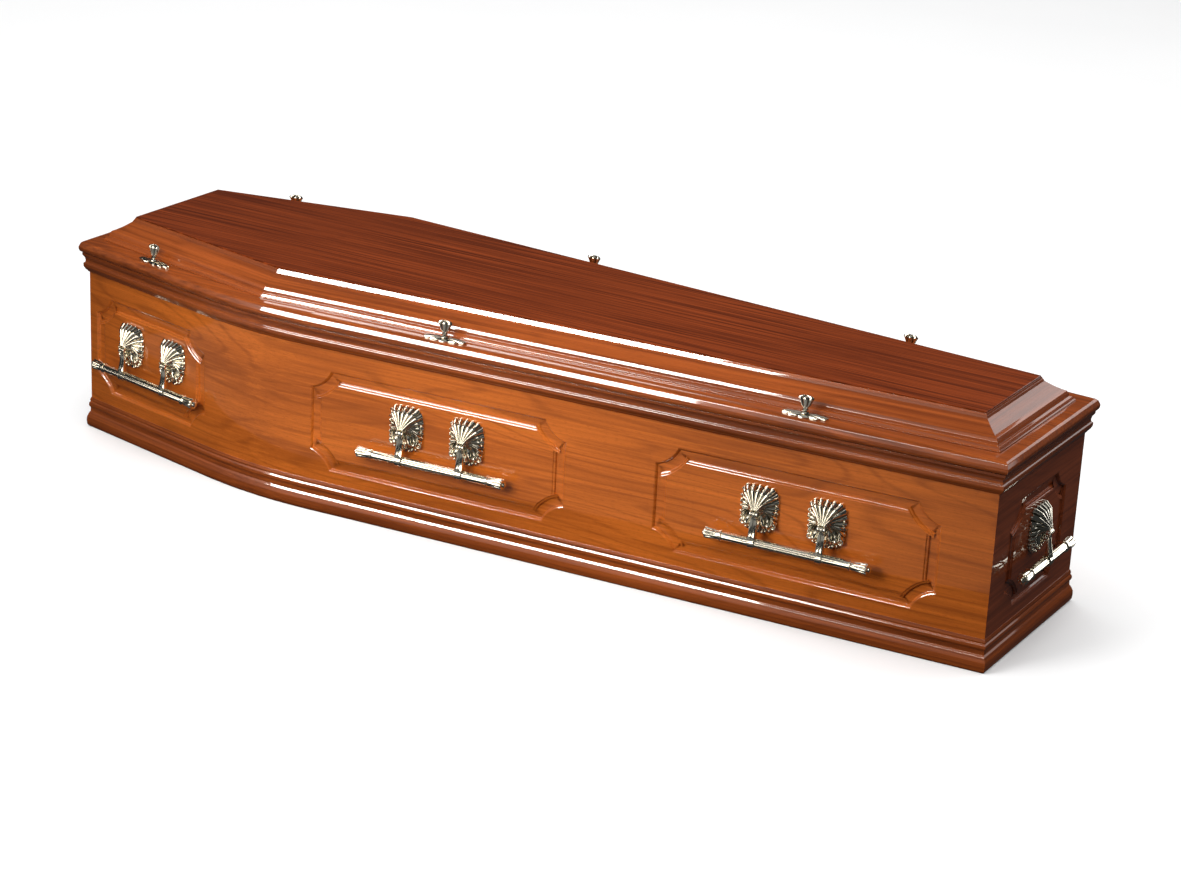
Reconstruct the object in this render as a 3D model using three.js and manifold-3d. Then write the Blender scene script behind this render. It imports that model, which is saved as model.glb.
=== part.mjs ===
// A traditional tapered coffin of veneered boards: a bent-shouldered box with a moulded plinth and rim,
// a lid with a bull-nosed flange, a mitred raised moulding and a flat top panel, eight bar handles that
// swing on shell plates, and six thumb-screws on leaf plates. Millimetres, +Z up, +X towards the foot.
// The origin lies on the ground at the middle of the length and the width.
import * as THREE from 'three';
import Module from 'manifold-3d';
import { mergeVertices } from 'three/addons/utils/BufferGeometryUtils.js';

// Plan of the box, measured on the outer faces of its walls
const LENGTH = 1940;
const HEAD_WIDTH = 384;
const SHOULDER_WIDTH = 590;
const FOOT_WIDTH = 376;
const SHOULDER_FROM_HEAD = 476;
const BEND_LENGTH = 130;
const BEND_STEPS = 4;

// Heights and board thicknesses
const WALL = 16;
const BASE_THICKNESS = 15;
const PLINTH_TOP = 60;
const RIM_BOTTOM = 323;
const LID_BOTTOM = 362;
const LID_TOP = 385;
const RAISED_TOP = 433;
const TOP_PANEL_THICKNESS = 6;
const GAP = 0.3;
const MITRE_GAP = 0.4;

// Lid: how far the raised top stands in from the walls, and how wide the flange board is
const RAISED_FROM_SIDE = 75;
const RAISED_FROM_END = 66;
const FLANGE_INSIDE = 100;

// Routed plaques on the walls
const PLAQUE_BOTTOM = 84;
const PLAQUE_TOP = 281;
const LONG_PLAQUE = 534;
const SHORT_PLAQUE = 331;
const END_PLAQUE = 244;
const NOTCH_ALONG = 43;
const NOTCH_UP = 36;
const NOTCH_SAG = 7;
const NOTCH_STEPS = 2;
const GROOVE_ROUND = 5;
const GROOVE_WIDTH = 26;

// Handles: the pivot of each arm, the bar that hangs below it, and the two arms' spacing
const PIVOT_HEIGHT = 201;
const PIVOT_OUT = 25;
const BAR_DROP = 53;
const ARM_SPACING = 126;
const BAR_RADIUS = 8.2;
const BAR_LENGTH = 316;
const END_BAR_LENGTH = 226;
const FINIAL_LENGTH = 40;
const BAR_SIDES = 8;
const ARM_WIDTH = 14;
const EYE_RADIUS = 5;
const EYE_WIDTH = 8;
const PIN_RADIUS = 2.3;
const PIN_HOLE_RADIUS = 2.95;
const PIN_SIDES = 6;
const EAR_WIDTH = 3;
const EAR_GAP = 0.35;
const RING_RADIUS = 11.2;
const RING_WIDTH = 13;

// Shell plates behind the arms: the right half of the edge as along, up, and whether it is a lobe or a notch
const SHELL_EDGE = [
  [0, 47, true], [6.5, 43, false], [13, 46, true], [19, 41, false], [26, 43, true], [29, 36, false],
  [36.5, 37, true], [33.5, 25, false], [36.5, 10, true], [36.5, -18, true], [25, -32, false], [15, -41.5, true],
  [0, -40, true],
];
const KNUCKLE_UP = 6.3;
const KNUCKLE_OUT = 28.5;

// Thumb-screws on the lid's flange
const SCREW_INSIDE = 6;
const SCREW_HEIGHT = 38;
const LEAF_LENGTH = 88;
const LEAF_WIDTH = 21;
const LEAF_HEIGHT = 6;

// Where the plaques, handles and screws stand along each stretch of wall
const HEAD_PLAQUE_AT = 186;
const MIDDLE_PLAQUE_AT = 398;
const FOOT_PLAQUE_AT = 1107;
const HEAD_HANDLE_AT = 197;
const MIDDLE_HANDLE_AT = 402;
const FOOT_HANDLE_AT = 1107;
const SCREW_X = { head: -779, middle: -87, foot: 614 };

const MATERIALS = {
  side: new THREE.MeshStandardMaterial({ color: 0xa85c28, roughness: 0.28, metalness: 0 }),
  end: new THREE.MeshStandardMaterial({ color: 0x7a3417, roughness: 0.28, metalness: 0 }),
  lid: new THREE.MeshStandardMaterial({ color: 0x7c3316, roughness: 0.25, metalness: 0 }),
  moulding: new THREE.MeshStandardMaterial({ color: 0x8f4420, roughness: 0.22, metalness: 0 }),
  base: new THREE.MeshStandardMaterial({ color: 0xa9855a, roughness: 0.7, metalness: 0 }),
  brass: new THREE.MeshStandardMaterial({ color: 0xd9cd96, roughness: 0.2, metalness: 1 }),
};

const wasm = await Module();
wasm.setup();

const radians = THREE.MathUtils.degToRad;

// Turning surfaces into closed solids

function signedVolume(geometry) {
  const position = geometry.attributes.position;
  const index = geometry.index;
  const [a, b, c] = [new THREE.Vector3(), new THREE.Vector3(), new THREE.Vector3()];
  let volume = 0;
  for (let i = 0; i < index.count; i += 3) {
    a.fromBufferAttribute(position, index.getX(i));
    b.fromBufferAttribute(position, index.getX(i + 1));
    c.fromBufferAttribute(position, index.getX(i + 2));
    volume += a.dot(b.cross(c)) / 6;
  }
  return volume;
}

function facingOut(geometry) {
  if (signedVolume(geometry) < 0) {
    const flipped = Array.from(geometry.index.array);
    for (let i = 0; i < flipped.length; i += 3) {
      [flipped[i + 1], flipped[i + 2]] = [flipped[i + 2], flipped[i + 1]];
    }
    geometry.setIndex(flipped);
  }
  return geometry;
}

function geometryFrom(points, faces) {
  const geometry = new THREE.BufferGeometry();
  geometry.setAttribute('position', new THREE.Float32BufferAttribute(points.flatMap((p) => [p.x, p.y, p.z]), 3));
  geometry.setIndex(faces);
  return facingOut(geometry);
}

function stitch(faces, lower, upper, count) {
  for (let i = 0; i < count; i += 1) {
    const next = (i + 1) % count;
    faces.push(lower + i, lower + next, upper + next, lower + i, upper + next, upper + i);
  }
}

// A moulding that runs all the way round: one ring of points for each corner of its section
function ringMoulding(section, outlineAt) {
  const rings = section.map(([out, z]) => outlineAt(out).map((p) => new THREE.Vector3(p.x, p.y, z)));
  const count = rings[0].length;
  const faces = [];
  rings.forEach((ring, i) => stitch(faces, i * count, ((i + 1) % rings.length) * count, count));
  return geometryFrom(rings.flat(), faces);
}

// A stack of rings closed by a point at each end
function lofted(rings, bottom, top) {
  const count = rings[0].length;
  const points = [...rings.flat(), bottom, top];
  const low = points.length - 2;
  const high = points.length - 1;
  const faces = [];
  for (let r = 0; r < rings.length - 1; r += 1) stitch(faces, r * count, (r + 1) * count, count);
  const last = (rings.length - 1) * count;
  for (let i = 0; i < count; i += 1) {
    const next = (i + 1) % count;
    faces.push(low, next, i);
    faces.push(high, last + i, last + next);
  }
  return geometryFrom(points, faces);
}

function board(outline, bottom, top) {
  const geometry = new THREE.ExtrudeGeometry(new THREE.Shape(outline), { depth: top - bottom, bevelEnabled: false });
  geometry.translate(0, 0, bottom);
  return geometry;
}

function solidOf(geometry) {
  const bare = geometry.clone();
  bare.deleteAttribute('normal');
  bare.deleteAttribute('uv');
  const merged = mergeVertices(bare, 1e-4);
  const mesh = new wasm.Mesh({
    numProp: 3,
    vertProperties: merged.attributes.position.array,
    triVerts: Uint32Array.from(merged.index.array),
  });
  return new wasm.Manifold(mesh);
}

function geometryOf(solid) {
  const mesh = solid.getMesh();
  const geometry = new THREE.BufferGeometry();
  geometry.setAttribute('position', new THREE.BufferAttribute(Float32Array.from(mesh.vertProperties), 3));
  geometry.setIndex(Array.from(mesh.triVerts));
  return geometry;
}

function joined(...geometries) {
  return geometries.map(solidOf).reduce((whole, piece) => whole.add(piece));
}

// The plan: six corners, anticlockwise from the near head corner, with the two shoulders bent round

const CORNERS = [
  new THREE.Vector2(-LENGTH / 2, -HEAD_WIDTH / 2),
  new THREE.Vector2(-LENGTH / 2 + SHOULDER_FROM_HEAD, -SHOULDER_WIDTH / 2),
  new THREE.Vector2(LENGTH / 2, -FOOT_WIDTH / 2),
  new THREE.Vector2(LENGTH / 2, FOOT_WIDTH / 2),
  new THREE.Vector2(-LENGTH / 2 + SHOULDER_FROM_HEAD, SHOULDER_WIDTH / 2),
  new THREE.Vector2(-LENGTH / 2, HEAD_WIDTH / 2),
];
const NEAR_SHOULDER = 1;
const FAR_SHOULDER = 4;

// A straight stretch of wall, from one corner to the next
function stretch(first) {
  const start = CORNERS[first];
  const end = CORNERS[(first + 1) % CORNERS.length];
  const along = end.clone().sub(start).normalize();
  return { start, along, outward: new THREE.Vector2(along.y, -along.x), length: start.distanceTo(end) };
}

const WALLS = {
  nearHead: stretch(0),
  nearFoot: stretch(1),
  foot: stretch(2),
  farFoot: stretch(3),
  farHead: stretch(4),
  head: stretch(5),
};
const WALL_LIST = [WALLS.nearHead, WALLS.nearFoot, WALLS.foot, WALLS.farFoot, WALLS.farHead, WALLS.head];

// The corner where two stretches meet once each has moved outwards by its own amount
function movedCorner(corner, outBefore, outAfter) {
  const before = WALL_LIST[(corner + WALL_LIST.length - 1) % WALL_LIST.length];
  const after = WALL_LIST[corner];
  const p = before.start.clone().addScaledVector(before.outward, outBefore);
  const q = after.start.clone().addScaledVector(after.outward, outAfter);
  const reach = q.clone().sub(p).cross(after.along) / before.along.cross(after.along);
  return p.addScaledVector(before.along, reach);
}

// The bend at a shoulder keeps one centre, so every moulding round it stays parallel to the wall
function shoulderArc(corner, out) {
  const before = WALL_LIST[corner - 1];
  const after = WALL_LIST[corner];
  const turn = Math.atan2(before.along.cross(after.along), before.along.dot(after.along));
  const radius = BEND_LENGTH / Math.tan(turn / 2);
  const tangent = CORNERS[corner].clone().addScaledVector(before.along, -BEND_LENGTH);
  const centre = tangent.clone().addScaledVector(before.outward, -radius);
  const from = before.outward.angle();
  const points = [];
  for (let i = 0; i <= BEND_STEPS; i += 1) {
    const angle = from + (turn * i) / BEND_STEPS;
    const ray = new THREE.Vector2(Math.cos(angle), Math.sin(angle));
    points.push(centre.clone().addScaledVector(ray, radius + out));
  }
  return points;
}

function planOutline(out) {
  return CORNERS.flatMap((corner, i) => (
    i === NEAR_SHOULDER || i === FAR_SHOULDER ? shoulderArc(i, out) : [movedCorner(i, out, out)]
  ));
}

// The raised top keeps sharp mitred corners; out is measured from its upper edge
function raisedOutline(out) {
  const moved = WALL_LIST.map((wall) => {
    const inset = wall === WALLS.head || wall === WALLS.foot ? RAISED_FROM_END : RAISED_FROM_SIDE;
    return out - inset;
  });
  return CORNERS.map((corner, i) => movedCorner(i, moved[(i + moved.length - 1) % moved.length], moved[i]));
}

// The plaque outline: a rectangle whose four corners are cut by shallow hollow arcs, moved in by inset

function notchPoints(width, height, inset) {
  const chord = Math.hypot(NOTCH_ALONG, NOTCH_UP);
  const radius = (chord * chord / 4 + NOTCH_SAG * NOTCH_SAG) / (2 * NOTCH_SAG);
  const rise = (radius - NOTCH_SAG) / chord;
  const centreX = width / 2 - NOTCH_ALONG / 2 + rise * NOTCH_UP;
  const centreY = height / 2 - NOTCH_UP / 2 + rise * NOTCH_ALONG;
  const grown = radius + inset;
  const sideX = width / 2 - inset - centreX;
  const topY = height / 2 - inset - centreY;
  const from = Math.atan2(-Math.sqrt(grown * grown - sideX * sideX), sideX);
  const to = Math.atan2(topY, -Math.sqrt(grown * grown - topY * topY));
  const points = [];
  for (let i = 0; i <= NOTCH_STEPS; i += 1) {
    const angle = from + ((to - from) * i) / NOTCH_STEPS;
    points.push(new THREE.Vector2(centreX + grown * Math.cos(angle), centreY + grown * Math.sin(angle)));
  }
  return points;
}

function plaqueOutline(width, height, inset) {
  const quarter = notchPoints(width, height, inset);
  const mirrored = (points, x, y) => points.map((p) => new THREE.Vector2(p.x * x, p.y * y));
  return [
    ...quarter,
    ...mirrored(quarter, -1, 1).reverse(),
    ...mirrored(quarter, -1, -1),
    ...mirrored(quarter, 1, -1).reverse(),
  ];
}

// The groove's section: a rounded edge, a flat bottom and a rounded edge up to the field again
function grooveSection() {
  const above = -2;
  const half = [];
  for (const angle of [0, 45, 90]) {
    const sweep = radians(angle);
    half.push([GROOVE_ROUND * Math.sin(sweep), GROOVE_ROUND * (1 - Math.cos(sweep))]);
  }
  const back = half.map(([inset, depth]) => [GROOVE_WIDTH - inset, depth]).reverse();
  return [[0, above], ...half, ...back, [GROOVE_WIDTH, above]];
}

function plaqueGroove(wall, at, width) {
  const height = PLAQUE_TOP - PLAQUE_BOTTOM;
  const middle = (PLAQUE_TOP + PLAQUE_BOTTOM) / 2;
  const rings = grooveSection().map(([inset, depth]) => plaqueOutline(width, height, inset).map((p) => {
    const foot = wall.start.clone().addScaledVector(wall.along, at + p.x).addScaledVector(wall.outward, -depth);
    return new THREE.Vector3(foot.x, foot.y, middle + p.y);
  }));
  const count = rings[0].length;
  const faces = [];
  rings.forEach((ring, i) => stitch(faces, i * count, ((i + 1) % rings.length) * count, count));
  return geometryFrom(rings.flat(), faces);
}

function routed(plain, grooves) {
  return geometryOf(grooves.reduce((wood, groove) => wood.subtract(solidOf(groove)), solidOf(plain)));
}

// The boards of the box

function sideBoard(firstCorner) {
  const shoulder = firstCorner + 1;
  const last = (firstCorner + 2) % CORNERS.length;
  const face = (out) => [
    movedCorner(firstCorner, out, out),
    ...shoulderArc(shoulder, out),
    movedCorner(last, out, out),
  ];
  return board([...face(0), ...face(-WALL).reverse()], 0, LID_BOTTOM - GAP);
}

function endBoard(firstCorner) {
  const last = (firstCorner + 1) % CORNERS.length;
  const inwards = new THREE.Vector2(0, MITRE_GAP);
  const trimmed = (corner, out) => {
    const p = movedCorner(corner, out, out);
    return p.addScaledVector(inwards, -Math.sign(p.y));
  };
  return board([trimmed(firstCorner, 0), trimmed(last, 0), trimmed(last, -WALL), trimmed(firstCorner, -WALL)],
    0, LID_BOTTOM - GAP);
}

const PLINTH_SECTION = [
  [GAP, 0], [5.6, 0], [7.6, 4.5], [8.2, 11], [7.2, 19], [4.4, 27], [2, 32],
  [2, 39], [3.8, 43], [4, 50], [2.6, 57], [1.2, PLINTH_TOP], [GAP, PLINTH_TOP],
];

const RIM_SECTION = [
  [GAP, RIM_BOTTOM], [3, RIM_BOTTOM], [7.2, RIM_BOTTOM + 4], [8.4, RIM_BOTTOM + 10], [7.8, RIM_BOTTOM + 17],
  [9, RIM_BOTTOM + 26], [11.6, RIM_BOTTOM + 30], [11.6, LID_BOTTOM - GAP], [GAP, LID_BOTTOM - GAP],
];

const FLANGE_SECTION = [
  [-FLANGE_INSIDE, LID_BOTTOM], [9, LID_BOTTOM], [13.4, LID_BOTTOM + 2.4], [16.2, LID_BOTTOM + 8],
  [16.2, LID_TOP - 8], [13.4, LID_TOP - 2.4], [9, LID_TOP], [-FLANGE_INSIDE, LID_TOP],
];

const RAISED_SEAT = RAISED_TOP - TOP_PANEL_THICKNESS - GAP;
const RAISED_SECTION = [
  [-24, LID_TOP + GAP], [50.5, LID_TOP + GAP], [50.5, 388.4], [46.8, 390], [45, 394], [40.6, 395.2],
  [38.6, 399.6], [33, 403.8], [22, 407.2], [13, 412.6], [7.6, 419], [4.8, 424.4], [1, RAISED_SEAT],
  [-24, RAISED_SEAT],
];

// Handle pieces, drawn with X along the wall, -Y out of it and the pivot's height at zero

const onWall = (along, up, out) => new THREE.Vector3(along, -out, up);

function rod(radius, sides, from, to, out, up) {
  const geometry = new THREE.CylinderGeometry(radius, radius, to - from, sides);
  geometry.rotateZ(Math.PI / 2);
  geometry.rotateX(Math.PI / sides);
  geometry.translate((from + to) / 2, -out, up);
  return geometry;
}

function block(alongFrom, alongTo, outFrom, outTo, upFrom, upTo) {
  const geometry = new THREE.BoxGeometry(alongTo - alongFrom, outTo - outFrom, upTo - upFrom);
  geometry.translate((alongFrom + alongTo) / 2, -(outFrom + outTo) / 2, (upFrom + upTo) / 2);
  return geometry;
}

function shellBody() {
  const left = SHELL_EDGE.slice(1, -1).reverse().map(([along, up, lobe]) => [-along, up, lobe]);
  const crown = 17;
  const ring = (share, lobeHeight, notchHeight) => [...SHELL_EDGE, ...left].map(
    ([along, up, lobe]) => onWall(along * share, up * share, lobe ? lobeHeight : notchHeight));
  return lofted([ring(1, GAP, GAP), ring(1, 6, 4)], onWall(0, 0, GAP), onWall(0, 0, crown));
}

// The fan's ribs rise from the plate's upper edge to a knuckle that stands over the pin
function shellSpine() {
  const section = (up, half, edgeOut, crestOut) => [
    onWall(-half, up, 4), onWall(half, up, 4), onWall(half, up, edgeOut), onWall(half / 3, up, crestOut),
    onWall(-half / 3, up, crestOut), onWall(-half, up, edgeOut),
  ];
  const rings = [
    section(KNUCKLE_UP, 8.5, KNUCKLE_OUT - 4, KNUCKLE_OUT), section(40, 19, 8, 10),
  ];
  return lofted(rings, onWall(0, KNUCKLE_UP, 15), onWall(0, 40, 6));
}

function pivotEar(from) {
  const root = 8;
  const outline = new THREE.Shape();
  outline.moveTo(root, 7);
  const steps = 2;
  for (let i = 0; i <= steps; i += 1) {
    const turn = Math.PI / 2 - (Math.PI * i) / steps;
    outline.lineTo(PIVOT_OUT + EYE_RADIUS * Math.cos(turn), EYE_RADIUS * Math.sin(turn));
  }
  outline.lineTo(root, -7);
  const geometry = new THREE.ExtrudeGeometry(outline, { depth: EAR_WIDTH, bevelEnabled: false });
  const axes = new THREE.Matrix4().makeBasis(
    new THREE.Vector3(0, -1, 0), new THREE.Vector3(0, 0, 1), new THREE.Vector3(-1, 0, 0));
  geometry.applyMatrix4(axes);
  geometry.translate(from + EAR_WIDTH, 0, 0);
  return geometry;
}

function shellPlate() {
  const inner = EYE_WIDTH / 2 + EAR_GAP;
  const stop = block(-3.5, 3.5, 8, PIVOT_OUT - 2.6, -16, -9);
  return geometryOf(joined(
    shellBody(), shellSpine(), pivotEar(inner), pivotEar(-inner - EAR_WIDTH), stop,
    rod(PIN_RADIUS, PIN_SIDES, -inner - 1, inner + 1, PIVOT_OUT, 0)));
}

// The strap has a raised rib down its face, bows outwards and swells towards the bar, and narrows between the ears
function strap() {
  const shoulder = -8.5;
  const bottom = -BAR_DROP + 8;
  const top = -1;
  const section = (half, up, bow = 0) => [
    onWall(-half, up, PIVOT_OUT - 2.2), onWall(half, up, PIVOT_OUT - 2.2), onWall(half, up, PIVOT_OUT + 1.4 + bow),
    onWall(0, up, PIVOT_OUT + 2.8 + bow), onWall(-half, up, PIVOT_OUT + 1.4 + bow),
  ];
  const sections = [
    section(ARM_WIDTH / 2, bottom, 6.2), section(ARM_WIDTH / 2 - 0.5, -27, 2.2), section(ARM_WIDTH / 2 - 1, shoulder),
    section(EYE_WIDTH / 2, shoulder + 1), section(EYE_WIDTH / 2, top),
  ];
  return lofted(sections, onWall(0, bottom, PIVOT_OUT), onWall(0, top, PIVOT_OUT));
}

function handleArm() {
  const half = EYE_WIDTH / 2;
  const whole = joined(
    rod(EYE_RADIUS, BAR_SIDES, -half, half, PIVOT_OUT, 0),
    strap(),
    rod(RING_RADIUS, BAR_SIDES, -RING_WIDTH / 2, RING_WIDTH / 2, PIVOT_OUT, -BAR_DROP));
  const pinHole = solidOf(rod(PIN_HOLE_RADIUS, PIN_SIDES, -ARM_WIDTH, ARM_WIDTH, PIVOT_OUT, 0));
  const barHole = solidOf(rod(BAR_RADIUS + 0.4, BAR_SIDES, -ARM_WIDTH, ARM_WIDTH, PIVOT_OUT, -BAR_DROP));
  return geometryOf(whole.subtract(pinHole).subtract(barHole));
}

// A round bar with a collar near each end and a trumpet finial that ends in a knob
function handleBar(length) {
  const end = length / 2;
  const collar = end - FINIAL_LENGTH;
  const half = [
    [0, end], [6.4, end - 4], [11.4, end - 6], [7.8, end - 32], [10.4, collar + 3], [10.4, collar],
    [BAR_RADIUS, collar - 1],
  ];
  const profile = [...half, ...half.map(([r, x]) => [r, -x]).reverse()];
  const geometry = new THREE.LatheGeometry(profile.map(([r, x]) => new THREE.Vector2(r, x)), BAR_SIDES);
  geometry.rotateZ(Math.PI / 2);
  geometry.rotateX(Math.PI / BAR_SIDES);
  geometry.translate(0, -PIVOT_OUT, -BAR_DROP);
  const merged = mergeVertices(geometry.deleteAttribute('normal').deleteAttribute('uv'), 1e-4);
  return geometryOf(solidOf(facingOut(merged)));
}

// Lid fittings, drawn with X along the flange and its top face at zero

function leafPlate() {
  const points = 12;
  const ring = (share, lobeHeight, notchHeight) => Array.from({ length: points }, (_, i) => {
    const turn = (2 * Math.PI * i) / points;
    const lobe = i % 2 === 0;
    const reach = share * (lobe ? 1 : 0.84);
    const x = (LEAF_LENGTH / 2) * reach * Math.cos(turn);
    const y = (LEAF_WIDTH / 2) * reach * Math.sin(turn);
    return new THREE.Vector3(x, y, lobe ? lobeHeight : notchHeight);
  });
  return lofted([ring(1, GAP, GAP), ring(1, 2.6, 1.8), ring(0.62, LEAF_HEIGHT - 0.6, 4)],
    new THREE.Vector3(0, 0, GAP), new THREE.Vector3(0, 0, LEAF_HEIGHT));
}

// A fluted fan on a beaded neck: each section has a half width, a half thickness and a depth of flute
function thumbScrew() {
  const points = 10;
  const foot = LEAF_HEIGHT + GAP;
  const sections = [
    [foot, 7.8, 7.8, 1], [foot + 3, 4.4, 4.4, 1], [foot + 6, 5.6, 5.6, 1], [foot + 9, 3.8, 3.6, 1],
    [SCREW_HEIGHT - 4, 14.6, 5.4, 0.82], [SCREW_HEIGHT, 10.5, 3, 0.7],
  ];
  const rings = sections.map(([z, wide, thick, flute]) => Array.from({ length: points }, (_, i) => {
    const turn = (2 * Math.PI * i) / points;
    const reach = i % 2 === 0 ? 1 : flute;
    return new THREE.Vector3(wide * reach * Math.cos(turn), thick * reach * Math.sin(turn), z);
  }));
  return lofted(rings, new THREE.Vector3(0, 0, foot), new THREE.Vector3(0, 0, SCREW_HEIGHT - 2));
}

// Assembly

const coffin = new THREE.Group();

function add(parent, name, geometry, material) {
  const mesh = new THREE.Mesh(geometry, material);
  mesh.name = name;
  parent.add(mesh);
}

function onStretch(wall, at, out, height) {
  const group = new THREE.Group();
  const place = wall.start.clone().addScaledVector(wall.along, at).addScaledVector(wall.outward, out);
  group.position.set(place.x, place.y, height);
  group.rotation.z = wall.along.angle();
  coffin.add(group);
  return group;
}

function addBox() {
  const floor = board(planOutline(-WALL - GAP), 0, BASE_THICKNESS);
  add(coffin, 'base_board', floor, MATERIALS.base);
  const near = [
    plaqueGroove(WALLS.nearHead, HEAD_PLAQUE_AT, SHORT_PLAQUE),
    plaqueGroove(WALLS.nearFoot, MIDDLE_PLAQUE_AT, LONG_PLAQUE),
    plaqueGroove(WALLS.nearFoot, FOOT_PLAQUE_AT, LONG_PLAQUE),
  ];
  const far = [
    plaqueGroove(WALLS.farHead, WALLS.farHead.length - HEAD_PLAQUE_AT, SHORT_PLAQUE),
    plaqueGroove(WALLS.farFoot, WALLS.farFoot.length - MIDDLE_PLAQUE_AT, LONG_PLAQUE),
    plaqueGroove(WALLS.farFoot, WALLS.farFoot.length - FOOT_PLAQUE_AT, LONG_PLAQUE),
  ];
  add(coffin, 'side_board_near', routed(sideBoard(0), near), MATERIALS.side);
  add(coffin, 'side_board_far', routed(sideBoard(3), far), MATERIALS.side);
  const endGroove = (wall) => [plaqueGroove(wall, wall.length / 2, END_PLAQUE)];
  add(coffin, 'head_board', routed(endBoard(5), endGroove(WALLS.head)), MATERIALS.end);
  add(coffin, 'foot_board', routed(endBoard(2), endGroove(WALLS.foot)), MATERIALS.end);
  add(coffin, 'plinth_moulding', ringMoulding(PLINTH_SECTION, planOutline), MATERIALS.moulding);
  add(coffin, 'rim_moulding', ringMoulding(RIM_SECTION, planOutline), MATERIALS.moulding);
}

function addLid() {
  add(coffin, 'lid_flange', ringMoulding(FLANGE_SECTION, planOutline), MATERIALS.lid);
  add(coffin, 'lid_raised_moulding', ringMoulding(RAISED_SECTION, raisedOutline), MATERIALS.moulding);
  const panel = board(raisedOutline(0), RAISED_TOP - TOP_PANEL_THICKNESS, RAISED_TOP);
  add(coffin, 'lid_top_panel', panel, MATERIALS.lid);
}

function addHandle(name, wall, at, barLength, armPlaces) {
  const plate = shellPlate();
  const arm = handleArm();
  armPlaces.forEach((place, i) => {
    const group = onStretch(wall, at + place, 0, PIVOT_HEIGHT);
    add(group, `plate_${name}_${i + 1}`, plate, MATERIALS.brass);
    add(group, `arm_${name}_${i + 1}`, arm, MATERIALS.brass);
  });
  add(onStretch(wall, at, 0, PIVOT_HEIGHT), `bar_${name}`, handleBar(barLength), MATERIALS.brass);
}

function addHandles() {
  const pair = [-ARM_SPACING / 2, ARM_SPACING / 2];
  const { nearHead, nearFoot, farFoot, farHead, foot, head } = WALLS;
  addHandle('near_head', nearHead, HEAD_HANDLE_AT, BAR_LENGTH, pair);
  addHandle('near_middle', nearFoot, MIDDLE_HANDLE_AT, BAR_LENGTH, pair);
  addHandle('near_foot', nearFoot, FOOT_HANDLE_AT, BAR_LENGTH, pair);
  addHandle('foot_end', foot, foot.length / 2, END_BAR_LENGTH, [0]);
  addHandle('far_foot', farFoot, farFoot.length - FOOT_HANDLE_AT, BAR_LENGTH, pair);
  addHandle('far_middle', farFoot, farFoot.length - MIDDLE_HANDLE_AT, BAR_LENGTH, pair);
  addHandle('far_head', farHead, farHead.length - HEAD_HANDLE_AT, BAR_LENGTH, pair);
  addHandle('head_end', head, head.length / 2, END_BAR_LENGTH, [0]);
}

function addThumbScrews() {
  const leaf = leafPlate();
  const screw = thumbScrew();
  const sides = {
    near: { head: WALLS.nearHead, middle: WALLS.nearFoot, foot: WALLS.nearFoot },
    far: { head: WALLS.farHead, middle: WALLS.farFoot, foot: WALLS.farFoot },
  };
  for (const [side, walls] of Object.entries(sides)) {
    for (const [place, wall] of Object.entries(walls)) {
      const inset = wall.start.clone().addScaledVector(wall.outward, -SCREW_INSIDE);
      const group = onStretch(wall, (SCREW_X[place] - inset.x) / wall.along.x, -SCREW_INSIDE, LID_TOP);
      add(group, `leaf_plate_${side}_${place}`, leaf, MATERIALS.brass);
      add(group, `thumb_screw_${side}_${place}`, screw, MATERIALS.brass);
    }
  }
}

addBox();
addLid();
addHandles();
addThumbScrews();

export default coffin;
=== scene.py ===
"""A tapered wooden coffin: glossy veneered boards and mouldings, with polished brass handles and thumb-screws."""

import math

import bpy
import numpy as np
from bpy.props import FloatProperty, FloatVectorProperty, IntProperty, PointerProperty
from mathutils import Matrix, Vector


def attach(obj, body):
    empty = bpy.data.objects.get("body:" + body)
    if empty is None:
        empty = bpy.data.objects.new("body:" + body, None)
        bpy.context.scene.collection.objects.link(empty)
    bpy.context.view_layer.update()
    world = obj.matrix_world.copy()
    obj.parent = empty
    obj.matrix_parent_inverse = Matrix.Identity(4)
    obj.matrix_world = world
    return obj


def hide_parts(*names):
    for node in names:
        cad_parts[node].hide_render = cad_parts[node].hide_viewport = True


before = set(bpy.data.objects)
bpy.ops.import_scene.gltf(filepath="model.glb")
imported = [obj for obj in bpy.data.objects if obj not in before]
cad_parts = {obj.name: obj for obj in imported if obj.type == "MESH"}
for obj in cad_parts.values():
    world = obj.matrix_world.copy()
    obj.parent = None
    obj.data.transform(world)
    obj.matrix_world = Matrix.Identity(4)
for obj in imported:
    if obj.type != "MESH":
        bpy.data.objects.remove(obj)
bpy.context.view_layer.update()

bl_info = {
    "name": "Wooden coffin",
    "version": (1, 0, 0),
    "blender": (4, 5, 0),
    "location": "3D View > Sidebar > Coffin",
    "description": "Builds a tapered wooden coffin piece by piece around its packed solids",
    "category": "Add Mesh",
}

MM = 0.001
JOINT_GAP = 0.3 * MM
FLAT_FACE_AREA = 0.004


# The sizes and colours that a user would change


def length(name, description, default):
    return FloatProperty(
        name=name, description=description, default=default, min=0, unit="LENGTH", subtype="DISTANCE"
    )


def colour(name, description, default):
    return FloatVectorProperty(
        name=name, description=description, default=default, size=3, min=0, max=1, subtype="COLOR"
    )


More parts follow.
